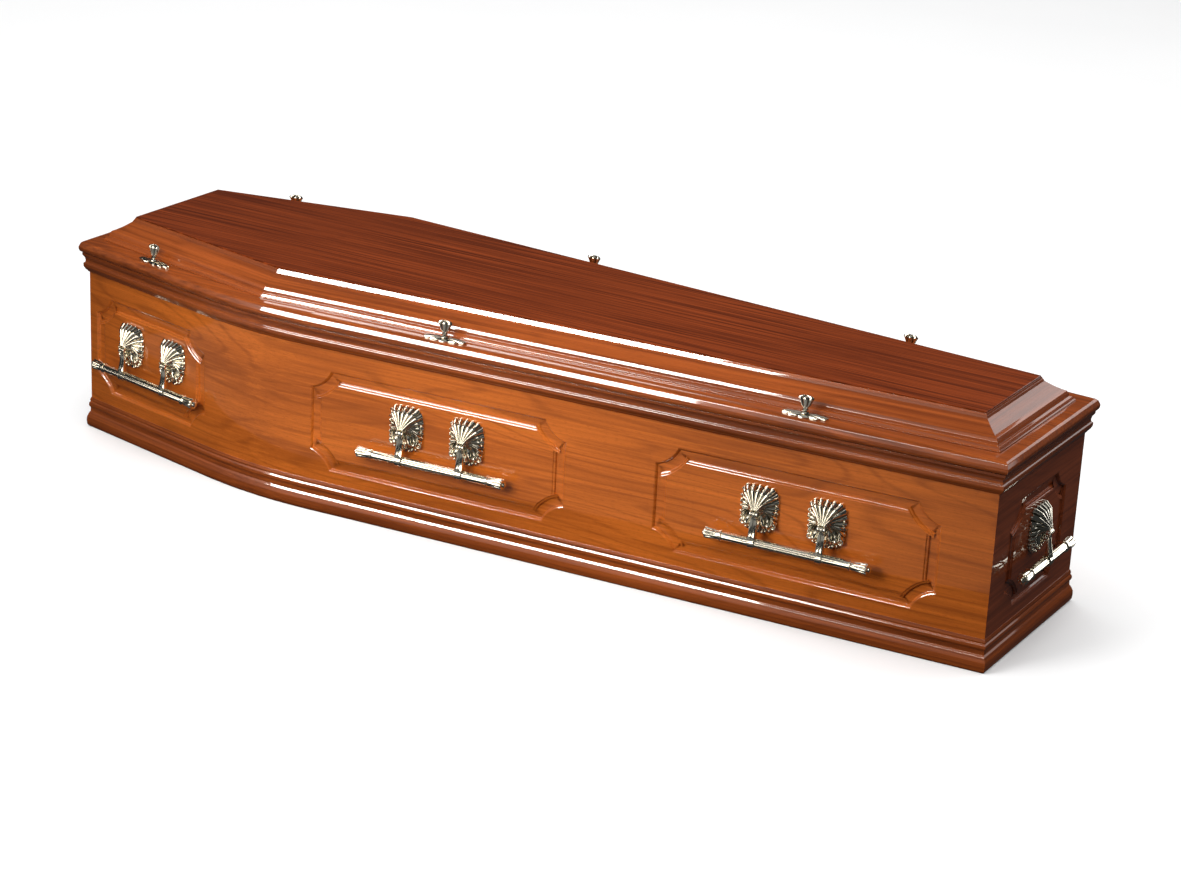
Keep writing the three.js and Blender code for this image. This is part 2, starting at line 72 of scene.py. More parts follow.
class CoffinBoxSizes(bpy.types.PropertyGroup):
    length: length("Length", "Length over the end walls", 1.940)
    head_width: length("Head width", "Width over the walls at the head", 0.384)
    shoulder_width: length("Shoulder width", "Width over the walls at the shoulder's corner", 0.590)
    foot_width: length("Foot width", "Width over the walls at the foot", 0.376)
    shoulder_from_head: length("Shoulder from head", "Distance from the head wall to the shoulder's corner", 0.476)
    bend: length("Bend", "How far the bend reaches from the shoulder's corner", 0.130)
    wall: length("Wall", "Thickness of the walls", 0.016)
    lid_bottom: length("Lid bottom", "Height of the joint between box and lid", 0.362)
    lid_top: length("Lid top", "Height of the lid's flange", 0.385)
    raised_top: length("Raised top", "Height of the lid's top panel", 0.433)
    raised_from_side: length("Raised from side", "How far the raised top stands in from the sides", 0.075)
    raised_from_end: length("Raised from end", "How far the raised top stands in from the ends", 0.066)
    plaque_bottom: length("Plaque bottom", "Height of the plaques' lower edge", 0.084)
    plaque_top: length("Plaque top", "Height of the plaques' upper edge", 0.281)
    bend_steps: IntProperty(name="Bend steps", description="Facets in each bent shoulder", default=28, min=4)


class CoffinFittingSizes(bpy.types.PropertyGroup):
    pivot_height: length("Pivot height", "Height of the pins that the arms hang from", 0.201)
    pivot_out: length("Pivot out", "Distance from the wall to the pins and the bar", 0.025)
    bar_drop: length("Bar drop", "Distance from the pins down to the bar", 0.053)
    arm_spacing: length("Arm spacing", "Distance between a side handle's two arms", 0.126)
    side_bar: length("Side bar", "Length of a side bar over its finials", 0.316)
    end_bar: length("End bar", "Length of an end bar over its finials", 0.226)
    bar_radius: length("Bar radius", "Radius of the bars", 0.0082)
    screw_height: length("Screw height", "Height of the thumb-screws over the lid", 0.038)
    leaf_length: length("Leaf length", "Length of the plates under the thumb-screws", 0.088)
    leaf_width: length("Leaf width", "Width of the plates under the thumb-screws", 0.021)


class CoffinFinish(bpy.types.PropertyGroup):
    side_wood: colour("Side wood", "Veneer of the side walls", (0.48, 0.110, 0.011))
    # Darker than the side veneer, partly as darker wood and partly as painted shade on the end walls
    end_wood: colour("End wood", "Veneer of the end walls", (0.24, 0.050, 0.014))
    # Painted shade: much darker than the side veneer, so that the lid, lit more from above, stays dark
    lid_wood: colour("Lid wood", "Veneer of the lid", (0.175, 0.029, 0.005))
    moulding_wood: colour("Moulding wood", "Wood of the mouldings", (0.24, 0.049, 0.007))
    bare_wood: colour("Bare wood", "Unpolished wood of the base and the insides", (0.48, 0.31, 0.16))
    brass: colour("Brass", "Polished metal of the fittings", (0.95, 0.89, 0.74))
    # Nearly black: partly patina and partly painted shade in the hollows of the fittings
    tarnish_and_shade: colour("Tarnish", "Metal in the hollows of the fittings", (0.07, 0.06, 0.035))
    floor: colour("Floor", "Floor of the studio", (0.92, 0.92, 0.92))


# The plan: six corners, anticlockwise from the near head corner, with the two shoulders bent round

NEAR_SHOULDER = 1
FAR_SHOULDER = 4


class Stretch:
    """A straight stretch of wall between two corners of the plan."""

    def __init__(self, start, end, before):
        self.start = start
        self.along = (end - start).normalized()
        self.outward = Vector((self.along.y, -self.along.x))
        self.length = (end - start).length
        self.before = before

    def at(self, along, out=0.0):
        return self.start + self.along * along + self.outward * out


def plan_corners(box):
    head, foot = -box.length / 2, box.length / 2
    shoulder = head + box.shoulder_from_head
    near = [(head, box.head_width), (shoulder, box.shoulder_width), (foot, box.foot_width)]
    corners = [Vector((x, -width / 2)) for x, width in near]
    return corners + [Vector((x, width / 2)) for x, width in reversed(near)]


def plan_stretches(box):
    corners = plan_corners(box)
    stretches = []
    before = 0.0
    for i, start in enumerate(corners):
        stretches.append(Stretch(start, corners[(i + 1) % len(corners)], before))
        before += stretches[-1].length
    return stretches


def cross2(a, b):
    return a.x * b.y - a.y * b.x


def moved_corner(stretches, i, out_before, out_after):
    """The corner where stretch i begins, once it and the one before have each moved outwards."""
    before, after = stretches[i - 1], stretches[i]
    p, q = before.at(0, out_before), after.at(0, out_after)
    return p + before.along * (cross2(q - p, after.along) / cross2(before.along, after.along))


def shoulder_arc(box, stretches, i, out):
    before, after = stretches[i - 1], stretches[i]
    turn = math.atan2(cross2(before.along, after.along), before.along.dot(after.along))
    radius = box.bend / math.tan(turn / 2)
    centre = before.at(before.length - box.bend, -radius)
    first = math.atan2(before.outward.y, before.outward.x)
    angles = [first + turn * step / box.bend_steps for step in range(box.bend_steps + 1)]
    return [centre + Vector((math.cos(a), math.sin(a))) * (radius + out) for a in angles]


def plan_outline(box, out=0.0):
    stretches = plan_stretches(box)
    points = []
    for i in range(len(stretches)):
        if i in (NEAR_SHOULDER, FAR_SHOULDER):
            points += shoulder_arc(box, stretches, i, out)
        else:
            points.append(moved_corner(stretches, i, out, out))
    return points


def raised_outline(box, out=0.0):
    """The upper edge of the raised top, which keeps sharp corners, moved outwards."""
    stretches = plan_stretches(box)
    insets = [box.raised_from_end if abs(s.along.x) < 0.5 else box.raised_from_side for s in stretches]
    moved = [out - inset for inset in insets]
    return [moved_corner(stretches, i, moved[i - 1], moved[i]) for i in range(len(stretches))]


def wall_matrix(stretch, along, height):
    """From a piece drawn with X along the wall, Y up and Z out of it, to its place on the wall."""
    foot = stretch.at(along)
    matrix = Matrix.Identity(4)
    matrix.col[0][:3] = (*stretch.along, 0)
    matrix.col[1][:3] = (0, 0, 1)
    matrix.col[2][:3] = (*stretch.outward, 0)
    matrix.translation = (foot.x, foot.y, height)
    return matrix


def lid_matrix(stretch, along, out, height):
    """From a piece drawn lying on the lid, with X along its edge and Z up, to its place."""
    foot = stretch.at(along, out)
    matrix = Matrix.Identity(4)
    matrix.col[0][:3] = (*stretch.along, 0)
    matrix.col[1][:3] = (*-stretch.outward, 0)
    matrix.translation = (foot.x, foot.y, height)
    return matrix


# Modelling helpers


def only(*objects):
    bpy.ops.object.select_all(action="DESELECT")
    for obj in objects:
        obj.select_set(True)
    bpy.context.view_layer.objects.active = objects[0]


def start_edit(obj, kind="VERT"):
    only(obj)
    bpy.ops.object.mode_set(mode="EDIT")
    bpy.ops.mesh.select_mode(type=kind)
    bpy.ops.mesh.select_all(action="SELECT")


def end_edit():
    bpy.ops.object.mode_set(mode="OBJECT")


def tidy_mesh(obj, angle=35, gap=1e-6):
    """Merges doubles, points every face outwards and smooths all but the sharp edges."""
    start_edit(obj)
    bpy.ops.mesh.remove_doubles(threshold=gap)
    bpy.ops.mesh.normals_make_consistent(inside=False)
    end_edit()
    only(obj)
    bpy.ops.object.shade_smooth_by_angle(angle=math.radians(angle))


def add_modifier(obj, kind, **settings):
    only(obj)
    bpy.ops.object.modifier_add(type=kind)
    modifier = obj.modifiers[-1]
    for key, value in settings.items():
        setattr(modifier, key, value)
    bpy.ops.object.modifier_apply(modifier=modifier.name)


def join(name, *objects):
    only(*objects)
    bpy.ops.object.join()
    whole = bpy.context.view_layer.objects.active
    whole.name = whole.data.name = name
    return whole


def move_mesh(obj, matrix):
    obj.data.transform(matrix)
    obj.data.update()
    return obj


def circle(name, vertices, fill="NOTHING"):
    bpy.ops.object.select_all(action="DESELECT")
    bpy.ops.mesh.primitive_circle_add(vertices=vertices, radius=1, fill_type=fill)
    obj = bpy.context.view_layer.objects.active
    obj.name = obj.data.name = name
    return obj


def flat_curve(name, points):
    data = bpy.data.curves.new(name, "CURVE")
    data.dimensions = "2D"
    data.fill_mode = "NONE"
    spline = data.splines.new("POLY")
    spline.points.add(len(points) - 1)
    for point, (x, y) in zip(spline.points, points):
        point.co = (x, y, 0, 1)
    spline.use_cyclic_u = True
    curve = bpy.data.objects.new(name, data)
    bpy.context.scene.collection.objects.link(curve)
    return curve


def sweep(name, section, path):
    """A closed section of (out, up) points, run round a closed path with mitred corners."""
    profile = flat_curve(name + "_section", [(-out, up) for out, up in section])
    rail = flat_curve(name, [tuple(p) for p in path])
    rail.data.bevel_mode = "OBJECT"
    rail.data.bevel_object = profile
    only(rail)
    bpy.ops.object.convert(target="MESH")
    ring = bpy.context.view_layer.objects.active
    bpy.data.objects.remove(profile)
    ring.name = ring.data.name = name
    return ring


def prism(name, outline, bottom, top):
    """A board cut to an outline: an n-gon whose corners are put on the outline, then extruded."""
    obj = circle(name, len(outline), "NGON")
    for vertex, point in zip(obj.data.vertices, outline):
        vertex.co = (point[0], point[1], bottom)
    start_edit(obj, "FACE")
    bpy.ops.mesh.extrude_region_move(TRANSFORM_OT_translate={"value": (0, 0, top - bottom)})
    bpy.ops.mesh.select_all(action="SELECT")
    bpy.ops.mesh.normals_make_consistent(inside=False)
    end_edit()
    return obj


def rounded(points, steps=5):
    """A closed outline of (x, y, radius) corners, each rounded by its radius."""
    outline = []
    for i, (x, y, radius) in enumerate(points):
        corner = Vector((x, y))
        before = Vector(points[i - 1][:2]) - corner
        after = Vector(points[(i + 1) % len(points)][:2]) - corner
        half = before.angle(after) / 2
        if radius <= 0 or half > math.radians(89.5):
            outline.append((x, y))
            continue
        reach = min(radius / math.tan(half), before.length * 0.49, after.length * 0.49)
        radius = reach * math.tan(half)
        before, after = before.normalized(), after.normalized()
        centre = corner + (before + after).normalized() * (radius / math.sin(half))
        first, last = corner + before * reach - centre, corner + after * reach - centre
        for step in range(steps + 1):
            share = step / steps
            turned = first.slerp(last, share, first) if first.angle(last) > 1e-4 else first
            outline.append(tuple(centre + turned.normalized() * radius))
    return outline


def edit_edges(obj, chosen):
    """Enters edit mode with just the chosen edges selected."""
    start_edit(obj, "EDGE")
    bpy.ops.mesh.select_all(action="DESELECT")
    end_edit()
    for edge in obj.data.edges:
        edge.select = chosen(edge)
    bpy.ops.object.mode_set(mode="EDIT")


def mark_flat_edges(obj, area):
    """Keeps the shading of large flat faces flat, by sharp edges round them."""
    large_beside = {}
    for face in obj.data.polygons:
        for key in face.edge_keys:
            large_beside.setdefault(key, []).append(face.area > area)
    edit_edges(obj, lambda edge: len(set(large_beside.get(edge.key, []))) > 1)
    bpy.ops.mesh.mark_sharp()
    end_edit()


def mark_mitres(ring, corners):
    """Keeps the shading apart on the two sides of each mitre of a swept moulding."""
    at = [min(range(len(corners)), key=lambda i: (corners[i] - v.co.xy).length) for v in ring.data.vertices]
    edit_edges(ring, lambda edge: at[edge.vertices[0]] == at[edge.vertices[1]])
    bpy.ops.mesh.mark_sharp()
    end_edit()


# Grain: where each corner of a face lies on the plank it is cut from


def lay_grain(obj, box, round_the_walls, turned=False):
    """Writes the attribute 'grain': along the plank, up or across it, and through it."""
    mesh = obj.data
    places = np.zeros(len(mesh.vertices) * 3)
    mesh.vertices.foreach_get("co", places)
    places = places.reshape(-1, 3)
    grain = np.zeros((len(mesh.loops), 3))
    stretches = plan_stretches(box)
    for face in mesh.polygons:
        loops = list(face.loop_indices)
        corners = places[[mesh.loops[i].vertex_index for i in loops]]
        if not round_the_walls:
            grain[loops] = corners[:, [1, 0, 2]] if turned else corners
            continue
        centre = corners.mean(axis=0)
        nearest = max(stretches, key=lambda s: (Vector(centre[:2]) - s.start).dot(s.outward))
        away = corners[:, :2] - np.array(nearest.start)
        grain[loops, 0] = away @ np.array(nearest.along) + nearest.before
        grain[loops, 1] = corners[:, 2]
        grain[loops, 2] = away @ np.array(nearest.outward)
    attribute = mesh.attributes.new("grain", "FLOAT_VECTOR", "CORNER")
    attribute.data.foreach_set("vector", grain.ravel())


# Materials


class Shader:
    """A material's node tree with one Principled shader, and short ways to add to it."""

    def __init__(self, name, **constants):
        self.material = bpy.data.materials.new(name)
        self.material.use_nodes = True
        self.tree = self.material.node_tree
        self.tree.nodes.clear()
        self.surface = self.add("ShaderNodeBsdfPrincipled", **constants)
        output = self.add("ShaderNodeOutputMaterial")
        self.tree.links.new(self.surface.outputs[0], output.inputs[0])

    def add(self, kind, settings=(), **sockets):
        node = self.tree.nodes.new(kind)
        for key, value in dict(settings).items():
            setattr(node, key, value)
        for key, value in sockets.items():
            self.put(node.inputs[key.replace("_", " ")], value)
        return node

    def put(self, socket, value):
        if isinstance(value, bpy.types.NodeSocket):
            self.tree.links.new(value, socket)
        else:
            socket.default_value = value

    def sum(self, kind, a, b=None, c=None):
        node = self.add("ShaderNodeMath", {"operation": kind})
        for socket, value in zip(node.inputs, (a, b, c)):
            if value is not None:
                self.put(socket, value)
        return node.outputs[0]

    def noise(self, place, scale, detail=3.0, roughness=0.5, distortion=0.0):
        node = self.add(
            "ShaderNodeTexNoise", Vector=place, Scale=scale, Detail=detail, Roughness=roughness, Distortion=distortion
        )
        return node.outputs["Fac"]

    def stretched(self, place, scale, shift=(0, 0, 0)):
        return self.add("ShaderNodeMapping", Vector=place, Scale=scale, Location=shift).outputs[0]

    def blend(self, share, first, second):
        node = self.add("ShaderNodeMix", {"data_type": "RGBA", "clamp_factor": True})
        for slot, value in ((0, share), (6, first), (7, second)):
            self.put(node.inputs[slot], value)
        return node.outputs[2]

    def ramp(self, value, *stops):
        node = self.add("ShaderNodeValToRGB", Fac=value)
        elements = node.color_ramp.elements
        while len(elements) < len(stops):
            elements.new(0.5)
        for element, (place, tint) in zip(elements, stops):
            element.position = place
            element.color = (*tint, 1) if len(tint) == 3 else tint
        return node.outputs[0]

    def range(self, value, low, high, to_low=0.0, to_high=1.0):
        node = self.add("ShaderNodeMapRange", {"interpolation_type": "SMOOTHSTEP"})
        for socket, number in zip(node.inputs, (value, low, high, to_low, to_high)):
            self.put(socket, number)
        return node.outputs[0]

    def attribute(self, name):
        return self.add("ShaderNodeAttribute", {"attribute_name": name})

    def bump(self, height, strength, distance):
        node = self.add("ShaderNodeBump", Strength=strength, Distance=distance, Height=height)
        self.put(self.surface.inputs["Normal"], node.outputs[0])


def tinted(tint, factor, warmth=0.0):
    return tuple(max(0.0, min(1.0, c * factor * (1 + warmth * w))) for c, w in zip(tint, (1, 0, -1)))


def veneer(name, tint, figure, streaks, fineness=150.0):
    """Lacquered mahogany: crown figure, fine straight streaks and short dark pores along the grain."""
    shader = Shader(
        name, Roughness=0.42, Coat_Weight=1.0, Coat_Roughness=0.035, Coat_IOR=1.5, Specular_IOR_Level=0.08
    )
    grain = shader.attribute("grain").outputs["Vector"]
    bow = shader.noise(shader.stretched(grain, (0.8, 5.0, 5.0)), 1.0, 2.0, 0.45)
    ring = shader.sum("ABSOLUTE", shader.sum("SINE", shader.sum("MULTIPLY", bow, 75.0)))
    lines = shader.range(ring, 0.0, 0.6, 1.0, 0.0)
    clouds = shader.noise(shader.stretched(grain, (1.6, 9.0, 9.0), (3.1, 0.4, 0)), 1.0, 3.0, 0.55)
    streak = shader.noise(shader.stretched(grain, (1.8, fineness, fineness)), 1.0, 4.0, 0.65)
    fleck = shader.noise(shader.stretched(grain, (90.0, 420.0, 420.0)), 1.0, 2.0, 0.6)
    pores = shader.noise(shader.stretched(grain, (55.0, 1300.0, 1300.0)), 1.0, 2.0, 0.7)
    body = shader.ramp(clouds, (0.32, tinted(tint, 0.66, 0.05)), (0.5, tint), (0.70, tinted(tint, 1.35, -0.04)))
    dark = (*tinted(tint, 0.42, 0.1), 1)
    light = (*tinted(tint, 1.7, -0.06), 1)
    pore = (*tinted(tint, 0.32, 0.1), 1)
    shade = body
    for share, amount, tone in (
        (lines, figure * 0.6, dark),
        (shader.range(streak, 0.50, 0.66), streaks, light),
        (shader.range(streak, 0.50, 0.34), streaks, dark),
        (shader.range(fleck, 0.52, 0.68), 0.35 * figure, dark),
        (shader.range(pores, 0.60, 0.74), 0.45, pore),
    ):
        shade = shader.blend(shader.sum("MULTIPLY", share, amount), shade, tone)
    shader.put(shader.surface.inputs["Base Color"], shade)
    shader.bump(streak, 0.05, 0.0004)
    return shader.material


def bare_board(name, tint):
    shader = Shader(name, Roughness=0.8, Specular_IOR_Level=0.2)
    place = shader.add("ShaderNodeTexCoord").outputs["Object"]
    streak = shader.noise(shader.stretched(place, (2.0, 90.0, 90.0)), 1.0, 4.0, 0.6)
    shade = shader.ramp(streak, (0.3, tinted(tint, 0.75)), (0.55, tint), (0.8, tinted(tint, 1.15)))
    shader.put(shader.surface.inputs["Base Color"], shade)
    shader.bump(streak, 0.2, 0.0005)
    return shader.material


def polished_brass(name, tint, tarnish_and_shade):
    """Pale brass, darker in the hollows of the castings, partly as patina and partly as painted shade, with faint
    smears in its polish.
    """
    shader = Shader(name, Metallic=1.0)
    place = shader.add("ShaderNodeTexCoord").outputs["Object"]
    hollow = shader.attribute("hollow").outputs["Fac"]
    mottle = shader.noise(place, 160.0, 3.0, 0.6)
    # Painted shade and patina: the hollows are blended towards a nearly black colour
    share = shader.sum("MULTIPLY", hollow, shader.range(mottle, 0.2, 0.7, 0.75, 1.0))
    shade = shader.blend(share, (*tint, 1), (*tarnish_and_shade, 1))
    shader.put(shader.surface.inputs["Base Color"], shade)
    smear = shader.noise(shader.stretched(place, (40.0, 40.0, 90.0)), 1.0, 3.0, 0.6)
    rough = shader.sum("MULTIPLY_ADD", smear, 0.06, 0.06)
    shader.put(shader.surface.inputs["Roughness"], shader.sum("MULTIPLY_ADD", share, 0.25, rough))
    shader.bump(mottle, 0.06, 0.0003)
    return shader.material


def studio_floor(name, tint):
    shader = Shader(name, Roughness=0.9, Specular_IOR_Level=0.0)
    place = shader.add("ShaderNodeTexCoord").outputs["Object"]
    cloud = shader.noise(place, 1.5, 2.0)
    shade = shader.ramp(cloud, (0.3, tinted(tint, 0.985)), (0.7, tint))
    shader.put(shader.surface.inputs["Base Color"], shade)
    return shader.material


def finish_material(finish, key):
    """Makes each finish the first time it is asked for."""
    name, maker, *settings = {
        "side_wood": ("side_veneer", veneer, finish.side_wood, 0.7, 0.30),
        "end_wood": ("end_veneer", veneer, finish.end_wood, 0.5, 0.5),
        "lid_wood": ("lid_veneer", veneer, finish.lid_wood, 0.3, 1.35, 240.0),
        "moulding_wood": ("moulding_veneer", veneer, finish.moulding_wood, 0.35, 0.6),
        "base_wood": ("bare_board", bare_board, finish.bare_wood),
        "brass": ("polished_brass", polished_brass, finish.brass, finish.tarnish_and_shade),
        "floor": ("studio_floor", studio_floor, finish.floor),
    }[key]
    return bpy.data.materials.get(name) or maker(name, *settings)


def coat(obj, material):
    obj.data.materials.clear()
    obj.data.materials.append(material)


# The flat panel would mirror the strips of light and burn out, seen from behind
UNLIT_BY_STRIPS = "top_panel"


def lit_group(name):
    """The pieces that a light made for the metal or for the wood falls on."""
    return bpy.data.collections.get(name) or bpy.data.collections.new(name)


def deliver(obj, body, nodes, slot, finish, veneered=None):
    """Gives a finished piece its material, its body and the solids that it stands for."""
    coat(obj, finish_material(finish, veneered or slot))
    if obj.name != UNLIT_BY_STRIPS:
        lit_group("metal_pieces" if slot == "brass" else "wood_pieces").objects.link(obj)
    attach(obj, body)
    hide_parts(*nodes)


# The plaques routed into the walls

NOTCH_ALONG = 43 * MM
NOTCH_UP = 36 * MM
NOTCH_SAG = 7 * MM
NOTCH_STEPS = 10
GROOVE_WIDTH = 26 * MM
PLAQUES = {
    "near": [(0, 0.186, 0.331), (1, 0.398, 0.534), (1, 1.107, 0.534)],
    "foot": [(2, None, 0.244)],
    "far": [(4, -0.186, 0.331), (3, -0.398, 0.534), (3, -1.107, 0.534)],
    "head": [(5, None, 0.244)],
}


def plaque_outline(width, height):
    """A rectangle whose corners are cut by shallow hollow arcs, anticlockwise."""
    chord = math.hypot(NOTCH_ALONG, NOTCH_UP)
    radius = (chord * chord / 4 + NOTCH_SAG * NOTCH_SAG) / (2 * NOTCH_SAG)
    rise = (radius - NOTCH_SAG) / chord
    centre = Vector((
        width / 2 - NOTCH_ALONG / 2 + rise * NOTCH_UP,
        height / 2 - NOTCH_UP / 2 + rise * NOTCH_ALONG,
    ))
    first = Vector((width / 2, height / 2 - NOTCH_UP)) - centre
    last = Vector((width / 2 - NOTCH_ALONG, height / 2)) - centre
    quarter = [centre + first.slerp(last, step / NOTCH_STEPS) * radius for step in range(NOTCH_STEPS + 1)]
    turns = [(1, 1), (-1, 1), (-1, -1), (1, -1)]
    outline = []
    for x, y in turns:
        points = [(p.x * x, p.y * y) for p in quarter]
        outline += points if x * y > 0 else points[::-1]
    return outline


def groove_cutter(name, stretch, along, width, box):
    outer = [(0, 0, 0.5), (1.6, 0.85, 0.8), (3.2, 2.6, 2), (4.6, 5.2, 0.6)]
    inner = [(6.2, 5.2, 0.6), (5.4, 2.54, 0.5), (4.2, 1.9, 0.3), (1.6, 1.6, 0.3), (1.2, 0.64, 0.5), (0, 0, 0.5)]
    width_mm = GROOVE_WIDTH / MM
    section = [(0, -2, 0)] + outer + [(width_mm - x, y, r) for x, y, r in inner] + [(width_mm, -2, 0)]
    section = rounded([(x * MM, y * MM, r * MM) for x, y, r in section], 3)
    height = box.plaque_top - box.plaque_bottom
    cutter = sweep(name, [(-inset, -depth) for inset, depth in section], plaque_outline(width, height))
    middle = (box.plaque_top + box.plaque_bottom) / 2
    move_mesh(cutter, wall_matrix(stretch, along, middle))
    tidy_mesh(cutter)
    return cutter


def rout_plaques(board, side, box):
    stretches = plan_stretches(box)
    for i, (stretch, along, width) in enumerate(PLAQUES[side]):
        wall = stretches[stretch]
        if along is None:
            along = wall.length / 2
        cutter = groove_cutter(f"cutter_{i}", wall, along % wall.length, width, box)
        add_modifier(board, "BOOLEAN", object=cutter, operation="DIFFERENCE", solver="EXACT")
        bpy.data.objects.remove(cutter)
    tidy_mesh(board, 30)
    mark_flat_edges(board, FLAT_FACE_AREA)


class COFFIN_OT_side_boards(bpy.types.Operator):
    """Adds the two long walls, bent at the shoulder, with their routed plaques"""

    bl_idname = "coffin.side_boards"
    bl_label = "Side boards"

    def execute(self, context):
        box, finish = context.scene.coffin_box, context.scene.coffin_finish
        stretches = plan_stretches(box)
        top = box.lid_bottom - JOINT_GAP
        for side, first in (("near", 0), ("far", 3)):
            shoulder, last = first + 1, (first + 2) % len(stretches)
            face = []
            for out in (0.0, -box.wall):
                run = [moved_corner(stretches, first, out, out)]
                run += shoulder_arc(box, stretches, shoulder, out)
                run.append(moved_corner(stretches, last, out, out))
                face += run if out == 0 else run[::-1]
            board = prism(f"side_{side}", face, 0.0, top)
            rout_plaques(board, side, box)
            lay_grain(board, box, True)
            deliver(board, "coffin", [f"side_board_{side}"], "side_wood", finish)
        return {"FINISHED"}


class COFFIN_OT_end_boards(bpy.types.Operator):
    """Adds the head and foot walls, each with one routed plaque"""

    bl_idname = "coffin.end_boards"
    bl_label = "End boards"

    def execute(self, context):
        box, finish = context.scene.coffin_box, context.scene.coffin_finish
        stretches = plan_stretches(box)
        gap = 0.4 * MM
        for side, first in (("foot", 2), ("head", 5)):
            corners = []
            last = (first + 1) % len(stretches)
            for corner, out in ((first, 0), (last, 0), (last, -box.wall), (first, -box.wall)):
                point = moved_corner(stretches, corner, out, out)
                corners.append((point.x, point.y - math.copysign(gap, point.y)))
            board = prism(f"{side}_wall", corners, 0.0, box.lid_bottom - JOINT_GAP)
            rout_plaques(board, side, box)
            lay_grain(board, box, True)
            deliver(board, "coffin", [f"{side}_board"], "end_wood", finish)
        return {"FINISHED"}


# The mouldings of box and lid, as sections of (out, up, rounding) in millimetres

PLINTH = [
    (0.3, 0, 0), (5.6, 0, 1), (7.6, 3.5, 3), (8.4, 11, 6), (7.8, 19, 6), (4.4, 27.5, 6), (2.0, 31, 1.2),
    (1.8, 39, 1.0), (3.6, 40.5, 0.8), (4.6, 44, 2.2), (4.0, 48.5, 2.2), (2.0, 51.5, 1.0), (2.0, 53, 0.6),
    (2.8, 54.5, 1), (1.2, 59, 1.5), (0.9, 60, 0.3), (0.3, 60, 0),
]
RIM = [
    (0.3, 323, 0), (2.2, 323, 0.4), (3.4, 325.5, 1), (6.2, 328, 2), (9.4, 334, 4), (9.6, 340.5, 2.4),
    (6.6, 342.8, 1.5), (6.0, 346.5, 3), (7.2, 352, 5), (10.8, 357, 1.5), (11.2, 361.7, 0.3), (0.3, 361.7, 0),
]
FLANGE = [
    (-100, 362, 0), (9.5, 362, 4), (14.6, 364.6, 5), (16.4, 369.5, 5), (16.4, 374.0, 5), (12.8, 382.0, 4),
    (8.5, 385, 4), (-100, 385, 0),
]
RAISED = [
    (-24, 385.3, 0), (50.5, 385.3, 0), (50.5, 387.2, 1.0), (48.6, 388.0, 0.5), (47.8, 387.9, 0.4),
    (47.2, 388.9, 1.0), (44.9, 392.3, 1.6), (40.6, 393.4, 0.8), (39.8, 398.6, 3.0), (36.8, 403.9, 3.0),
    (30.5, 406.6, 3), (18, 413.8, 22), (5.2, 423.0, 2.0), (3.0, 427.4, 0.4), (2.3, 427.2, 0.2),
    (0.6, 432.4, 0.4), (0.2, 426.7, 0), (-24, 426.7, 0),
]


def section_metres(section):
    return rounded([(out * MM, up * MM, radius * MM) for out, up, radius in section])


class COFFIN_OT_mouldings(bpy.types.Operator):
    """Adds the plinth round the foot of the box and the rim round its top"""

    bl_idname = "coffin.mouldings"
    bl_label = "Plinth and rim"

    def execute(self, context):
        box, finish = context.scene.coffin_box, context.scene.coffin_finish
        for name, section in (("plinth", PLINTH), ("rim", RIM)):
            ring = sweep(f"{name}_run", section_metres(section), plan_outline(box))
            tidy_mesh(ring, 32)
            lay_grain(ring, box, True)
            deliver(ring, "coffin", [f"{name}_moulding"], "moulding_wood", finish)
        return {"FINISHED"}


class COFFIN_OT_lid(bpy.types.Operator):
    """Adds the lid: bull-nosed flange, mitred raised moulding and flat top panel"""

    bl_idname = "coffin.lid"
    bl_label = "Lid"

    def execute(self, context):
        box, finish = context.scene.coffin_box, context.scene.coffin_finish
        flange = sweep("flange", section_metres(FLANGE), plan_outline(box))
        tidy_mesh(flange, 32)
        mark_flat_edges(flange, FLAT_FACE_AREA)
        lay_grain(flange, box, False)
        deliver(flange, "coffin", ["lid_flange"], "lid_wood", finish, "moulding_wood")
        raised = sweep("raised_moulding", section_metres(RAISED), raised_outline(box))
        tidy_mesh(raised, 32)
        mark_mitres(raised, raised_outline(box))
        lay_grain(raised, box, True)
        deliver(raised, "coffin", ["lid_raised_moulding"], "moulding_wood", finish)
        panel = prism("top_panel", raised_outline(box, -0.1 * MM), box.raised_top - 6 * MM, box.raised_top)
        add_modifier(panel, "BEVEL", width=0.6 * MM, segments=3)
        tidy_mesh(panel, 40)
        mark_flat_edges(panel, FLAT_FACE_AREA)
        lay_grain(panel, box, False)
        deliver(panel, "coffin", ["lid_top_panel"], "lid_wood", finish)
        return {"FINISHED"}


class COFFIN_OT_base(bpy.types.Operator):
    """Gives the base board, which keeps its solid, bare unpolished wood"""

    bl_idname = "coffin.base"
    bl_label = "Base board"

    def execute(self, context):
        coat(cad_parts["base_board"], finish_material(context.scene.coffin_finish, "base_wood"))
        return {"FINISHED"}


# Castings are pressed out of a disc of rings: each point goes by its angle and its reach from the middle


def disc(name, columns, rows):
    """A flat disc of radius 1 made of rings, with its rim first."""
    obj = circle(name, columns)
    start_edit(obj)
    for row in range(rows, 1, -1):
        bpy.ops.mesh.extrude_edges_move()
        bpy.ops.transform.resize(value=((row - 1) / row,) * 3)
    bpy.ops.mesh.extrude_edges_move()
    bpy.ops.mesh.merge(type="CENTER")
    end_edit()
    return obj


